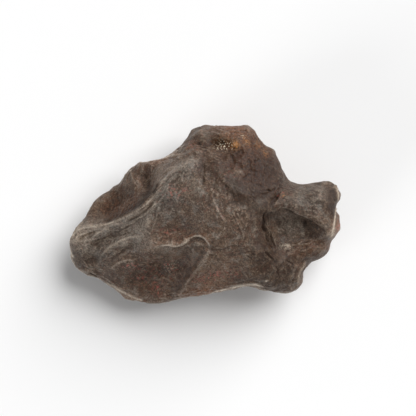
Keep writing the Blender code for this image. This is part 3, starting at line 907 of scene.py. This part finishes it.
@dataclass(frozen=True)
class Grain:
    """The sizes of the weathering that covers the whole stone, in millimetres."""

    dent_spacing: float = 12.0
    dent_depth: float = 0.55
    wrinkle_spacing: float = 1.9
    wrinkle_height: float = 0.60
    wrinkle_stretch: float = 6.0
    pit_spacing: float = 5.5
    pit_depth: float = 0.50
    rubble_spacing: float = 2.2
    rubble_depth: float = 0.35
    grain_spacing: float = 1.6
    grain_height: float = 0.24
    seed: float = 7.0

    def inputs(self) -> dict[str, float]:
        """The sizes by the names that the tree gives them, such as Dent Spacing."""
        return {name.replace("_", " ").title(): size for name, size in asdict(self).items()}


@dataclass(frozen=True)
class Drift:
    """The slow patterns that bend the weathering, and that make it stronger in one place than in another."""

    warp: Pattern = Pattern(0.14)
    warp_reach: float = 5.0
    pit_patches: Pattern = Pattern(0.07)
    pitted: Ramp = Ramp(0.42, 0.60, 0.25, 1.0)
    wrinkle_patches: Pattern = Pattern(0.11)
    wrinkled: Ramp = Ramp(0.40, 0.62, 0.25, 1.25)
    fold_detail: float = 3.0
    fold_rough: float = 0.55
    thread: Ramp = Ramp(0.06, 0.0, 0.0, 0.12)
    grain_detail: float = 3.0
    grain_rough: float = 0.6
    dent_floor: float = 0.3
    swing: float = 2.0


class WeatheringTree:
    """The Geometry Nodes tree that roughens a stone's surface in and out along its normals."""

    def __init__(self, material: bpy.types.Material, drift: Drift) -> None:
        """Builds the tree.

        Args:
            material: What the finished surface is made of.
            drift: The slow patterns.
        """
        self.tree = bpy.data.node_groups.new("weathering", "GeometryNodeTree")
        self.drift = drift
        face = self.tree.interface
        face.new_socket("Geometry", in_out="INPUT", socket_type="NodeSocketGeometry")
        face.new_socket("Geometry", in_out="OUTPUT", socket_type="NodeSocketGeometry")
        for name, value in Grain().inputs().items():
            face.new_socket(name, in_out="INPUT", socket_type="NodeSocketFloat").default_value = value
        self.n = Nodes(self.tree)
        self.given = self.n.add("NodeGroupInput").outputs
        self._fill(material)

    def _fill(self, material: bpy.types.Material) -> None:
        """Adds the nodes that move the surface and dress it.

        Args:
            material: What the finished surface is made of.
        """
        n, given = self.n, self.given
        lift = n.maths("MULTIPLY", n.maths("MULTIPLY", self._lift(), self._stored("free")), MM)
        normal = n.add("GeometryNodeInputNormal").outputs[0]
        offset = n.vector("SCALE", normal, lift)
        moved = n.add("GeometryNodeSetPosition", {"Geometry": given["Geometry"], "Offset": offset}).outputs[0]
        real = n.add("GeometryNodeRealizeInstances", {0: moved}).outputs[0]
        dressed = n.add("GeometryNodeSetMaterial", {0: real, "Material": material}).outputs[0]
        n.add("NodeGroupOutput", {0: dressed})

    def _lift(self) -> bpy.types.NodeSocket:
        """Adds up the dents, pits, wrinkles and grain.

        Returns:
            How far the surface moves outwards, in millimetres.
        """
        n, given, drift = self.n, self.given, self.drift
        place = n.add("GeometryNodeInputPosition").outputs[0]
        in_mm = n.vector("SCALE", place, 1.0 / MM)
        seed = n.add("ShaderNodeCombineXYZ", {0: given["Seed"], 1: given["Seed"]}).outputs[0]
        where = n.vector("ADD", in_mm, seed)
        warp = n.noise(where, drift.warp, "Color")
        bent = n.vector("ADD", where, n.vector("SCALE", warp, drift.warp_reach))

        pitted = n.ramp(n.noise(where, drift.pit_patches), drift.pitted)
        pits = n.maths("MULTIPLY", self._dents(bent, "Pit"), pitted)
        pits = n.maths("ADD", pits, n.maths("MULTIPLY", self._dents(bent, "Rubble"), self._stored("rubble")))
        wrinkled = n.ramp(n.noise(where, drift.wrinkle_patches), drift.wrinkled)
        wrinkles = n.maths("MULTIPLY", self._wrinkles(bent), given["Wrinkle Height"])
        wrinkles = n.maths("MULTIPLY", wrinkles, wrinkled)
        fine = Pattern(n.maths("DIVIDE", 1.0, given["Grain Spacing"]), drift.grain_detail, drift.grain_rough)
        grain = n.maths("MULTIPLY", n.maths("SUBTRACT", n.noise(where, fine), 0.5), given["Grain Height"])
        coarse = n.maths("ADD", self._dents(bent, "Dent"), pits)
        return n.maths("ADD", coarse, n.maths("ADD", wrinkles, n.maths("MULTIPLY", grain, drift.swing)))

    def _stored(self, name: str) -> bpy.types.NodeSocket:
        """A number stored on the stone's points."""
        return self.n.add("GeometryNodeInputNamedAttribute", {"Name": name}, data_type="FLOAT").outputs[0]

    def _dents(self, where: bpy.types.NodeSocket, kind: str) -> bpy.types.NodeSocket:
        """Shallow dents side by side, with crests where they meet.

        Args:
            where: The place, in millimetres.
            kind: The first word of the inputs that say how far apart and how deep they are.

        Returns:
            A rise that is low in each dent's middle and high between them.
        """
        n, given = self.n, self.given
        scale = n.maths("DIVIDE", 1.0, given[f"{kind} Spacing"])
        cells = n.add("ShaderNodeTexVoronoi", {"Vector": where, "Scale": scale}).outputs["Distance"]
        bowl = n.maths("SUBTRACT", n.maths("POWER", cells, 2.0), self.drift.dent_floor)
        return n.maths("MULTIPLY", bowl, n.maths("MULTIPLY", given[f"{kind} Depth"], self.drift.swing))

    def _wrinkles(self, where: bpy.types.NodeSocket) -> bpy.types.NodeSocket:
        """Wrinkles that run along the stone's own grain, blended from noises drawn out in four directions.

        Args:
            where: The place, in millimetres.

        Returns:
            The wrinkles' rise, from about -1 to 1.
        """
        n, given, drift = self.n, self.given, self.drift
        even, skew = self._stored("flow_even"), self._stored("flow_skew")
        shorten = n.maths("DIVIDE", 1.0, given["Wrinkle Stretch"])
        squeeze = n.add("ShaderNodeCombineXYZ", {0: shorten, 1: 1.0, 2: 1.0}).outputs[0]
        scale = n.maths("DIVIDE", 1.0, given["Wrinkle Spacing"])
        folds = Pattern(scale, drift.fold_detail, drift.fold_rough)
        total = 0.0
        for index, (flow, sign) in enumerate(((even, 1.0), (skew, 1.0), (even, -1.0), (skew, -1.0))):
            turn = {"Vector": where, "Angle": -index * math.pi / 4}
            turned = n.add("ShaderNodeVectorRotate", turn, rotation_type="Z_AXIS").outputs[0]
            fold = n.maths("SUBTRACT", n.noise(n.vector("MULTIPLY", turned, squeeze), folds), 0.5)
            fold = n.maths("ADD", fold, n.ramp(n.maths("ABSOLUTE", fold), drift.thread))
            weight = n.maths("MAXIMUM", n.maths("MULTIPLY", flow, sign), 0.0)
            total = n.maths("ADD", total, n.maths("MULTIPLY", fold, weight))
        return n.maths("MULTIPLY", total, drift.swing)

    def apply_to(self, obj: bpy.types.Object, grain: Grain) -> bpy.types.Mesh:
        """Runs the tree on an object.

        Args:
            obj: The stone, with its relief cut.
            grain: The sizes to use.

        Returns:
            A new plain mesh.
        """
        modifier = obj.modifiers.new("weathering", "NODES")
        modifier.node_group = self.tree
        sockets = self.tree.interface.items_tree
        names = {socket.name: socket.identifier for socket in sockets if socket.in_out == "INPUT"}
        for name, value in grain.inputs().items():
            modifier[names[name]] = float(value)
        mesh = plain_copy(obj)
        obj.modifiers.clear()
        return mesh


def plain_copy(obj: bpy.types.Object) -> bpy.types.Mesh:
    """The object as its modifiers leave it.

    Args:
        obj: The object, with its modifiers.

    Returns:
        A new mesh.
    """
    bpy.context.view_layer.update()
    graph = bpy.context.evaluated_depsgraph_get()
    return bpy.data.meshes.new_from_object(obj.evaluated_get(graph), depsgraph=graph)


def points_of(mesh: bpy.types.Mesh) -> np.ndarray:
    """The mesh's points.

    Args:
        mesh: The mesh.

    Returns:
        One row for each point, in millimetres.
    """
    flat = np.empty(len(mesh.vertices) * 3, np.float32)
    mesh.vertices.foreach_get("co", flat)
    return flat.reshape(-1, 3).astype(float) / MM


def set_points(mesh: bpy.types.Mesh, points: np.ndarray) -> None:
    """Moves the mesh's points to these places in millimetres."""
    mesh.vertices.foreach_set("co", (points * MM).astype(np.float32).ravel())
    mesh.update()


def normals_of(mesh: bpy.types.Mesh) -> np.ndarray:
    """The direction that the surface faces at each point.

    Args:
        mesh: The mesh.

    Returns:
        One row of length 1 for each point.
    """
    flat = np.empty(len(mesh.vertices) * 3, np.float32)
    mesh.vertex_normals.foreach_get("vector", flat)
    return flat.reshape(-1, 3).astype(float)


def neighbours_mean(mesh: bpy.types.Mesh, values: np.ndarray, rounds: int) -> np.ndarray:
    """Values averaged with those of neighbouring points, over and over.

    Args:
        mesh: Whose edges say which points are neighbours.
        values: One row for each point.
        rounds: How many times to average.

    Returns:
        The smoothed rows.
    """
    edges = np.empty(len(mesh.edges) * 2, np.int32)
    mesh.edges.foreach_get("vertices", edges)
    edges = edges.reshape(-1, 2)
    a, b = np.concatenate([edges[:, 0], edges[:, 1]]), np.concatenate([edges[:, 1], edges[:, 0]])
    count = np.bincount(a, minlength=len(values)).astype(float)[:, None]
    for _ in range(rounds):
        total = np.stack([np.bincount(a, values[b, k], len(values)) for k in range(values.shape[1])], 1)
        values = 0.5 * values + 0.5 * total / np.maximum(count, 1)
    return values


def store(mesh: bpy.types.Mesh, name: str, values: np.ndarray) -> None:
    """Writes one number for each point as a named attribute."""
    attribute = mesh.attributes.get(name) or mesh.attributes.new(name, "FLOAT", "POINT")
    attribute.data.foreach_set("value", values.astype(np.float32))


@dataclass(frozen=True)
class WeatheredIron:
    """The oxide skin: dark umber, rubbed to a grey tan on the crests, with rust, ochre and red flecks, and with
    painted shade and painted highlights.
    """

    umber: Colour = (0.080, 0.051, 0.035)
    brown: Colour = (0.137, 0.091, 0.061)
    # Grey patina colour, also used for the painted sheen.
    steel: Colour = (0.148, 0.129, 0.109)
    salt: Colour = (0.560, 0.480, 0.360)
    # The colour of bared metal and of the painted highlights on crests and rim.
    bared: Colour = (0.750, 0.645, 0.530)
    rubbed: Colour = (0.280, 0.230, 0.182)
    soot: Colour = (0.050, 0.032, 0.022)
    rust: Colour = (0.175, 0.085, 0.047)
    ochre: Colour = (0.600, 0.310, 0.110)
    # How far the painted shade darkens red, green and blue.
    dimmed: Colour = (0.50, 0.44, 0.39)
    red: Colour = (0.360, 0.105, 0.085)

    cloud: Pattern = Pattern(0.09, 4.0, 0.6)
    mottle: Pattern = Pattern(0.42, 5.0, 0.65, 0.8)
    blotch: Pattern = Pattern(0.2, 3.0, 0.55, 0.6)
    speckle: Pattern = Pattern(1.1, 3.0, 0.7)
    flecks: Pattern = Pattern(0.75, 3.0, 0.6, 0.5)
    scuffs: Pattern = Pattern(0.8, 2.0, 0.5, 1.2)
    torn: Pattern = Pattern(0.22, 4.0, 0.65)
    pits: Pattern = Pattern(2.6, 4.0, 0.7)
    salt_scale: float = 0.95

    browned: Ramp = Ramp(0.38, 0.62)
    greyed: Ramp = Ramp(0.52, 0.63, 0.0, 0.65)
    sooted: Ramp = Ramp(0.48, 0.36, 0.0, 0.65)
    mottled: Ramp = Ramp(0.42, 0.70, 0.0, 0.70)
    rusted: Ramp = Ramp(0.35, 0.6, 0.2, 0.75)
    edge_worn: Ramp = Ramp(0.80, 1.0, 0.0, 0.1)
    crest_worn: Ramp = Ramp(0.42, 1.0, 0.0, 0.55)
    wear_broken: Ramp = Ramp(0.35, 0.7, 0.95, 0.35)
    sheltered: Ramp = Ramp(0.2, 1.0)
    flecked: Ramp = Ramp(0.52, 0.65)
    ochred: Ramp = Ramp(0.40, 0.56)
    scuffed: Ramp = Ramp(0.60, 0.70, 0.0, 0.5)
    speckled: Ramp = Ramp(0.30, 0.70, 0.57, 1.50)
    bare_broken: Ramp = Ramp(0.30, 0.62, 1.0, 0.30)
    salted: Ramp = Ramp(0.42, 0.25)
    matted: Ramp = Ramp(0.3, 0.7, 0.47, 0.65)

    ragged: float = 0.9
    pale_ragged: float = 0.45
    ragged_from: float = 0.3
    steel_share: float = 0.7
    pale_share: float = 0.55
    soot_share: float = 0.6
    red_share: float = 0.85
    red_everywhere: float = 0.1
    bump: float = 0.5
    bump_height: float = 0.25
    gloss: float = 0.25
    sheen: float = 0.03
    sheen_roughness: float = 0.3

    def material(self) -> bpy.types.Material:
        """Builds the material.

        Returns:
            A procedural material that reads Object coordinates and the stone's own attributes.
        """
        material = bpy.data.materials.new("weathered_iron")
        material.use_nodes = True
        SkinTree(material.node_tree, self).build()
        return material


class SkinTree:
    """The shader tree of the oxide skin, laid on coat by coat."""

    def __init__(self, tree: bpy.types.NodeTree, finish: WeatheredIron) -> None:
        """Adds the patterns that several coats share.

        Args:
            tree: The material's own tree.
            finish: The colours and numbers to use.
        """
        n = Nodes(tree)
        self.n, self.finish = n, finish
        self.where = n.vector("SCALE", n.add("ShaderNodeTexCoord").outputs["Object"], 1.0 / MM)
        self.mottle = n.noise(self.where, finish.mottle)
        self.blotch = n.noise(self.where, finish.blotch)
        self.flecks = n.noise(self.where, finish.flecks)
        self.torn = n.maths("SUBTRACT", n.noise(self.where, finish.torn), 0.5)

    def build(self) -> None:
        """Lays on the coats in order and joins them to the shader."""
        n, finish = self.n, self.finish
        colour = self._rub(self._rust(self._iron()))
        colour = self._bare(self._veil(self._fleck(colour)))
        pits = n.noise(self.where, finish.pits)
        inputs = {"Strength": finish.bump, "Distance": finish.bump_height * MM, "Height": pits}
        bump = n.add("ShaderNodeBump", inputs).outputs[0]
        rough = n.ramp(self.mottle, finish.matted)
        shader = n.add("ShaderNodeBsdfPrincipled", {"Base Color": colour, "Roughness": rough, "Normal": bump})
        shader.inputs["Metallic"].default_value = 0.0
        shader.inputs["Specular IOR Level"].default_value = finish.gloss
        shader.inputs["Sheen Weight"].default_value = finish.sheen
        shader.inputs["Sheen Roughness"].default_value = finish.sheen_roughness
        n.add("ShaderNodeOutputMaterial", {"Surface": shader.outputs[0]})

    def _stored(self, name: str) -> bpy.types.NodeSocket:
        """A number stored on the stone."""
        return self.n.add("ShaderNodeAttribute", attribute_name=name).outputs["Fac"]

    def _patch(self, tint: Tint, ragged: float) -> bpy.types.NodeSocket:
        """A tint's cover, with its edge torn.

        Args:
            tint: Which tint.
            ragged: How far its edge is torn.

        Returns:
            The cover, from 0 up.
        """
        n = self.n
        cover = self._stored(tint.value)
        edge = n.maths("MULTIPLY", self.torn, n.ramp(cover, Ramp(0.0, self.finish.ragged_from, 0.0, ragged)))
        return n.maths("MAXIMUM", n.maths("ADD", cover, edge), 0.0)

    def _iron(self) -> bpy.types.NodeSocket:
        """Umber and brown, with grey patina that is partly a painted sheen, and sooty blotches.

        Returns:
            The colour so far.
        """
        n, finish = self.n, self.finish
        cloud = n.noise(self.where, finish.cloud)
        colour = n.blend(n.ramp(cloud, finish.browned), finish.umber, finish.brown)
        # Grey patina and painted sheen from the stains, plus random grey blotches.
        steel = n.maths("MULTIPLY", self._patch(Tint.STEEL, finish.ragged), finish.steel_share)
        steel = n.maths("ADD", steel, n.ramp(self.blotch, finish.greyed), True)
        colour = n.blend(steel, colour, finish.steel)
        colour = n.blend(n.ramp(self.blotch, finish.sooted), colour, finish.soot)
        return n.blend(n.ramp(self.mottle, finish.mottled), colour, finish.soot)

    def _rust(self, colour: bpy.types.NodeSocket) -> bpy.types.NodeSocket:
        """Rust, broken up by the mottle.

        Args:
            colour: The colour so far.

        Returns:
            The colour with rust on it.
        """
        n, finish = self.n, self.finish
        cover = self._patch(Tint.RUST, finish.ragged)
        cover = n.maths("MULTIPLY", cover, n.ramp(self.mottle, finish.rusted), True)
        return n.blend(cover, colour, finish.rust)

    def _rub(self, colour: bpy.types.NodeSocket) -> bpy.types.NodeSocket:
        """Tan where the stone is rubbed and where a painted highlight lies, and soot where it is sheltered.

        Args:
            colour: The colour so far.

        Returns:
            The colour with its crests rubbed and its hollows dark.
        """
        n, finish = self.n, self.finish
        edge, crest = self._stored("edge"), self._stored("crest")
        worn = n.maths("ADD", n.ramp(edge, finish.edge_worn), n.ramp(crest, finish.crest_worn))
        worn = n.maths("MULTIPLY", worn, n.ramp(self.mottle, finish.wear_broken))
        # Rubbed wear together with painted highlights.
        pale = n.maths("MULTIPLY", self._patch(Tint.PALE, finish.pale_ragged), finish.pale_share)
        colour = n.blend(n.maths("ADD", worn, pale, True), colour, finish.rubbed)
        shelter = n.maths("MULTIPLY", n.ramp(self._stored("cavity"), finish.sheltered), finish.soot_share)
        return n.blend(shelter, colour, finish.soot)

    def _fleck(self, colour: bpy.types.NodeSocket) -> bpy.types.NodeSocket:
        """Red flecks, ochre and pale scuffs.

        Args:
            colour: The colour so far.

        Returns:
            The colour with its small marks.
        """
        n, finish = self.n, self.finish
        red = n.maths("MULTIPLY", self._patch(Tint.RED, finish.ragged), finish.red_share)
        red = n.maths("ADD", red, finish.red_everywhere)
        red = n.maths("MULTIPLY", red, n.ramp(self.flecks, finish.flecked), True)
        colour = n.blend(red, colour, finish.red)
        ochre = n.maths("MULTIPLY", self._stored("ochre"), n.ramp(self.flecks, finish.ochred), True)
        colour = n.blend(ochre, colour, finish.ochre)
        return n.blend(n.ramp(n.noise(self.where, finish.scuffs), finish.scuffed), colour, finish.rubbed)

    def _veil(self, colour: bpy.types.NodeSocket) -> bpy.types.NodeSocket:
        """Speckles the colour and darkens it with painted shade under the shade stains, more in the blue than
        in the red.

        Args:
            colour: The colour so far.

        Returns:
            The dimmed colour.
        """
        n, finish = self.n, self.finish
        light = n.ramp(n.noise(self.where, finish.speckle), finish.speckled)
        # The painted shade, from the shade stains.
        shade = self._patch(Tint.DARK, finish.ragged)
        dimmed = [n.maths("MULTIPLY", light, n.maths("POWER", dim, shade)) for dim in finish.dimmed]
        speckled_painted_shade = n.add("ShaderNodeCombineXYZ", dict(enumerate(dimmed))).outputs[0]
        return n.blend(1.0, colour, speckled_painted_shade, "MULTIPLY")

    def _bare(self, colour: bpy.types.NodeSocket) -> bpy.types.NodeSocket:
        """Bared metal on the crests with painted highlights along them, the painted rim highlight, and white
        grains, which lie on top of everything.

        Args:
            colour: The colour so far.

        Returns:
            The finished colour.
        """
        n, finish = self.n, self.finish
        # Bared metal and painted highlights on the crests, and the painted rim highlight.
        bare = n.maths("ADD", self._stored("rim"), self._stored("bare"))
        bare = n.maths("MULTIPLY", bare, n.ramp(self.mottle, finish.bare_broken), True)
        colour = n.blend(bare, colour, finish.bared)
        grains = n.add("ShaderNodeTexVoronoi", {"Vector": self.where, "Scale": finish.salt_scale})
        salt = n.ramp(grains.outputs["Distance"], finish.salted)
        return n.blend(n.maths("MULTIPLY", self._stored("salt"), salt, True), colour, finish.salt)


@dataclass
class Meteorite:
    """The stone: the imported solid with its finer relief, grain and skin."""

    merge_within: float = 0.001
    voxel: float = 0.60
    soften_rounds: int = 2
    most_triangles: int = 196_000
    box_slack: float = 0.6

    strokes: list[Stroke] = field(
        default_factory=lambda: [*SPINE, *FLANK, *SHOULDER, *LIP, *CROWN, *KNOB, *HOLLOW, *ARM, *CORNER]
    )
    outline: list[Spur] = field(default_factory=lambda: list(OUTLINE))
    middle: Plan = (6.0, -4.0)
    relief_facing: Span = (0.10, 0.40)
    resting_flow: Plan = (-0.45, 0.1)
    flow_pull: float = 0.8
    crest_height: float = 1.6

    worn: list[Wear] = field(default_factory=lambda: list(WORN))
    worn_rounds: int = 60
    worn_from: Span = (8.0, 14.0)
    worn_calm: float = 0.45

    grain: Grain = field(default_factory=Grain)
    drift: Drift = field(default_factory=Drift)
    free_from: Span = (0.3, 3.0)

    finish: WeatheredIron = field(default_factory=WeatheredIron)
    marks: dict[Tint, list[Mark]] = field(default_factory=lambda: dict(MARKS))
    overlap: float = 0.5
    crest_scales: tuple[tuple[int, float], ...] = ((4, 0.075), (16, 0.26))
    stain_facing: Span = (-0.35, 0.0)
    bare_facing: Span = (0.08, 0.36)
    rim_facing: tuple[Span, Span] = ((-0.12, 0.02), (0.12, 0.50))

    def build(self) -> bpy.types.Object:
        """Makes the stone.

        Returns:
            The finished object, riding on the frame.
        """
        stone = self._even_copy()
        self._wear_down(stone.data)
        self._cut_relief(stone.data)
        stone.data = WeatheringTree(self.finish.material(), self.drift).apply_to(stone, self.grain)
        stone.data = self._thin(stone)
        self._keep_in_box(stone.data)
        self._note_crests(stone.data)
        self._paint(stone.data)
        stone.data.shade_smooth()
        stone.data.name = stone.name
        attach(stone, "root")
        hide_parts(NODE)
        log.info("%s: %d faces, %d points", stone.name, len(stone.data.polygons), len(stone.data.vertices))
        return stone

    def _even_copy(self) -> bpy.types.Object:
        """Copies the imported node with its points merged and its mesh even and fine.

        Returns:
            A new object in the scene.
        """
        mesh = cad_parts[NODE].data.copy()
        shape = bmesh.new()
        shape.from_mesh(mesh)
        bmesh.ops.remove_doubles(shape, verts=shape.verts, dist=self.merge_within * MM)
        shape.to_mesh(mesh)
        shape.free()
        for attribute in list(mesh.attributes):
            if not attribute.is_required and not attribute.is_internal:
                mesh.attributes.remove(attribute)
        stone = bpy.data.objects.new("meteorite_stone", mesh)
        bpy.context.scene.collection.objects.link(stone)
        even = stone.modifiers.new("even", "REMESH")
        even.mode = "VOXEL"
        even.voxel_size = self.voxel * MM
        stone.data = plain_copy(stone)
        stone.modifiers.clear()
        return stone

    def _wear_down(self, mesh: bpy.types.Mesh) -> None:
        """Takes off the even mesh's steps, and smooths the worn ovals.

        Args:
            mesh: The stone's mesh, which is changed.
        """
        set_points(mesh, neighbours_mean(mesh, points_of(mesh), self.soften_rounds))
        points = points_of(mesh)
        smooth = neighbours_mean(mesh, points, self.worn_rounds)
        set_points(mesh, points + (smooth - points) * self._worn_share(points)[:, None])

    def _worn_share(self, points: np.ndarray) -> np.ndarray:
        """How worn the upper side of the stone is.

        Args:
            points: Places, in millimetres.

        Returns:
            A number from 0 to 1 for each.
        """
        worn = np.zeros(len(points))
        for wear in self.worn:
            worn = np.maximum(worn, wear.share(points[:, :2]))
        return worn * smooth_step(points[:, 2], *self.worn_from)

    def _cut_relief(self, mesh: bpy.types.Mesh) -> None:
        """Raises the crests and cuts the hollows, and notes how free each point is to move.

        Args:
            mesh: The stone's mesh, which is changed.
        """
        points = points_of(mesh)
        normals = normals_of(mesh)
        upward = smooth_step(normals[:, 2], *self.relief_facing)
        plan = points[:, :2]
        lift = np.zeros(len(points))
        crest = np.zeros(len(points))
        flow = np.full((len(points), 2), np.array(self.resting_flow))
        for stroke in self.strokes:
            rise = self._lift_near(stroke, plan)
            lift += rise
            if isinstance(stroke, Ridge):
                crest = np.maximum(crest, rise / self.crest_height)
            if isinstance(stroke, Braid):
                along = stroke.flow(plan)
                flow += (along - flow * np.linalg.norm(along, axis=1)[:, None]) * self.flow_pull
        points = points + normals * (lift * upward)[:, None]
        centre = np.array(self.middle)
        points = points + sum(spur.move(points, centre) for spur in self.outline)
        set_points(mesh, points)
        calm = 1.0 - self.worn_calm * self._worn_share(points)
        store(mesh, "free", smooth_step(points[:, 2], *self.free_from) * calm)
        store(mesh, "edge", np.clip(crest * upward, 0, 1))
        store(mesh, "flow_even", flow[:, 0])
        store(mesh, "flow_skew", flow[:, 1])
        store(mesh, "rubble", self._cover(points[:, :2], Tint.RUST) * upward)

    @staticmethod
    def _lift_near(stroke: Stroke, plan: np.ndarray) -> np.ndarray:
        """A stroke's rise, worked out only for the places that it can reach.

        Args:
            stroke: The stroke.
            plan: Places, in millimetres.

        Returns:
            The rise at each place, in millimetres.
        """
        middle = np.array([[stroke.x, stroke.y]] if isinstance(stroke, Thumbprint) else stroke.points)
        low, high = middle.min(0) - stroke.reach() - 1, middle.max(0) + stroke.reach() + 1
        near = np.all((plan > low) & (plan < high), axis=1)
        lift = np.zeros(len(plan))
        lift[near] = stroke.lift(plan[near])
        return lift

    def _thin(self, stone: bpy.types.Object) -> bpy.types.Mesh:
        """Takes faces away where the stone is flattest, to stay within its share of triangles.

        Args:
            stone: The stone, with its grain.

        Returns:
            Its own mesh, or a new one with fewer faces.
        """
        count = sum(len(face.vertices) - 2 for face in stone.data.polygons)
        if count <= self.most_triangles:
            return stone.data
        thin = stone.modifiers.new("thin", "DECIMATE")
        thin.ratio = self.most_triangles / count
        mesh = plain_copy(stone)
        stone.modifiers.clear()
        return mesh

    def _keep_in_box(self, mesh: bpy.types.Mesh) -> None:
        """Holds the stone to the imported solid's box, and keeps it off the ground's far side.

        Args:
            mesh: The stone's mesh, which is changed.
        """
        low, high = (np.array(corner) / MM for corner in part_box(NODE))
        low, high = low - self.box_slack, high + self.box_slack
        low[2] = 0.0
        set_points(mesh, np.clip(points_of(mesh), low, high))

    def _note_crests(self, mesh: bpy.types.Mesh) -> None:
        """Stores where the surface stands above its surroundings and where it lies below them.

        Args:
            mesh: The stone's finished mesh, which gets two attributes.
        """
        points = points_of(mesh)
        normals = normals_of(mesh)
        crest = np.zeros(len(points))
        cavity = np.zeros(len(points))
        for rounds, scale in self.crest_scales:
            rise = np.einsum("ij,ij->i", points - neighbours_mean(mesh, points, rounds), normals) / scale
            crest += np.clip(rise, 0, 1) / len(self.crest_scales)
            cavity += np.clip(-rise, 0, 1) / len(self.crest_scales)
        store(mesh, "crest", np.clip(crest, 0, 1))
        store(mesh, "cavity", np.clip(cavity, 0, 1))

    def _paint(self, mesh: bpy.types.Mesh) -> None:
        """Stores how much of each tint there is: stains and painted shade on the upper side, bared metal with
        painted highlights, and the painted rim highlight, only where they belong.

        Args:
            mesh: The stone's finished mesh, which gets an attribute for each tint.
        """
        plan = points_of(mesh)[:, :2]
        facing = normals_of(mesh)[:, 2]
        upper = smooth_step(facing, *self.stain_facing)
        bare = smooth_step(facing, *self.bare_facing)
        # The painted rim highlight shows only on steep walls near the top of the outline.
        rises, falls = self.rim_facing
        rim = smooth_step(facing, *rises) * (1.0 - smooth_step(facing, *falls))
        for tint in Tint:
            shown = {Tint.RIM: rim, Tint.BARE: bare}.get(tint, upper)
            store(mesh, tint.value, self._cover(plan, tint) * shown)

    def _cover(self, plan: np.ndarray, tint: Tint) -> np.ndarray:
        """How much of a tint all its marks together lay down.

        Args:
            plan: Places, in millimetres.
            tint: Which tint.

        Returns:
            The cover at each place. Marks that lie on each other add up to about 2 at most.
        """
        cover = np.zeros(len(plan))
        for mark in self.marks[tint]:
            cover = cover + mark.cover(plan) * (1.0 - self.overlap * cover)
        return cover


@dataclass(frozen=True)
class Lamp:
    """A distant soft light."""

    name: str
    stands: tuple[float, float, float]
    breadth: float
    strength: float

    def build(self) -> None:
        """Makes the light, shining from where it stands towards the stone."""
        data = bpy.data.lights.new(self.name, "SUN")
        data.angle = math.radians(self.breadth)
        data.energy = self.strength
        lamp = bpy.data.objects.new(self.name, data)
        bpy.context.scene.collection.objects.link(lamp)
        lamp.rotation_mode = "QUATERNION"
        lamp.rotation_quaternion = (-Vector(self.stands)).to_track_quat("-Z", "Y")


@dataclass
class Studio:
    """A pale floor, a soft key light at the far right, a low light at the near left, and a camera above."""

    floor_size: float = 6.0
    floor_colour: Colour = (0.9, 0.9, 0.9)
    floor_roughness: float = 0.9
    floor_gloss: float = 0.1
    camera_place: Plan = (0.0018, 0.0039)
    view_width: float = 0.2496
    focus_height: float = 0.024
    lens: float = 135.0
    sensor: float = 36.0
    lamps: tuple[Lamp, ...] = (
        Lamp("key", (0.58, 0.58, 0.64), 54.0, 4.0),
        Lamp("low_light", (-0.75, -0.6, 0.26), 26.0, 1.25),
    )
    sky_strength: float = 0.225

    def build(self) -> None:
        """Makes the floor, the lights and the camera."""
        self._floor()
        self._lights()
        self._camera()
        log.info("studio: floor, two lights, sky and camera")

    def _floor(self) -> None:
        """A large pale floor at the stone's foot."""
        shape = bmesh.new()
        bmesh.ops.create_grid(shape, x_segments=1, y_segments=1, size=self.floor_size / 2)
        mesh = bpy.data.meshes.new("floor")
        shape.to_mesh(mesh)
        shape.free()
        floor = bpy.data.objects.new("floor", mesh)
        bpy.context.scene.collection.objects.link(floor)
        material = bpy.data.materials.new("pale_paper")
        material.use_nodes = True
        shader = material.node_tree.nodes["Principled BSDF"]
        shader.inputs["Base Color"].default_value = (*self.floor_colour, 1.0)
        shader.inputs["Roughness"].default_value = self.floor_roughness
        shader.inputs["Specular IOR Level"].default_value = self.floor_gloss
        mesh.materials.append(material)

    def _lights(self) -> None:
        """Two soft lights and an even sky."""
        for lamp in self.lamps:
            lamp.build()
        world = bpy.data.worlds.new("sky")
        bpy.context.scene.world = world
        world.use_nodes = True
        background = world.node_tree.nodes["Background"]
        background.inputs["Color"].default_value = (1.0, 1.0, 1.0, 1.0)
        background.inputs["Strength"].default_value = self.sky_strength

    def _camera(self) -> None:
        """A long lens straight above the stone."""
        data = bpy.data.cameras.new("camera")
        data.lens = self.lens
        data.sensor_width = self.sensor
        camera = bpy.data.objects.new("camera", data)
        bpy.context.scene.collection.objects.link(camera)
        distance = self.view_width * self.lens / self.sensor
        camera.location = (*self.camera_place, self.focus_height + distance)
        bpy.context.scene.camera = camera
        bpy.context.scene.view_settings.view_transform = "Standard"


def main() -> None:
    """Builds the stone and its surroundings."""
    logging.basicConfig(level=logging.INFO)
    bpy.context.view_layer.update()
    Meteorite().build()
    Studio().build()


if __name__ == "__main__":
    main()
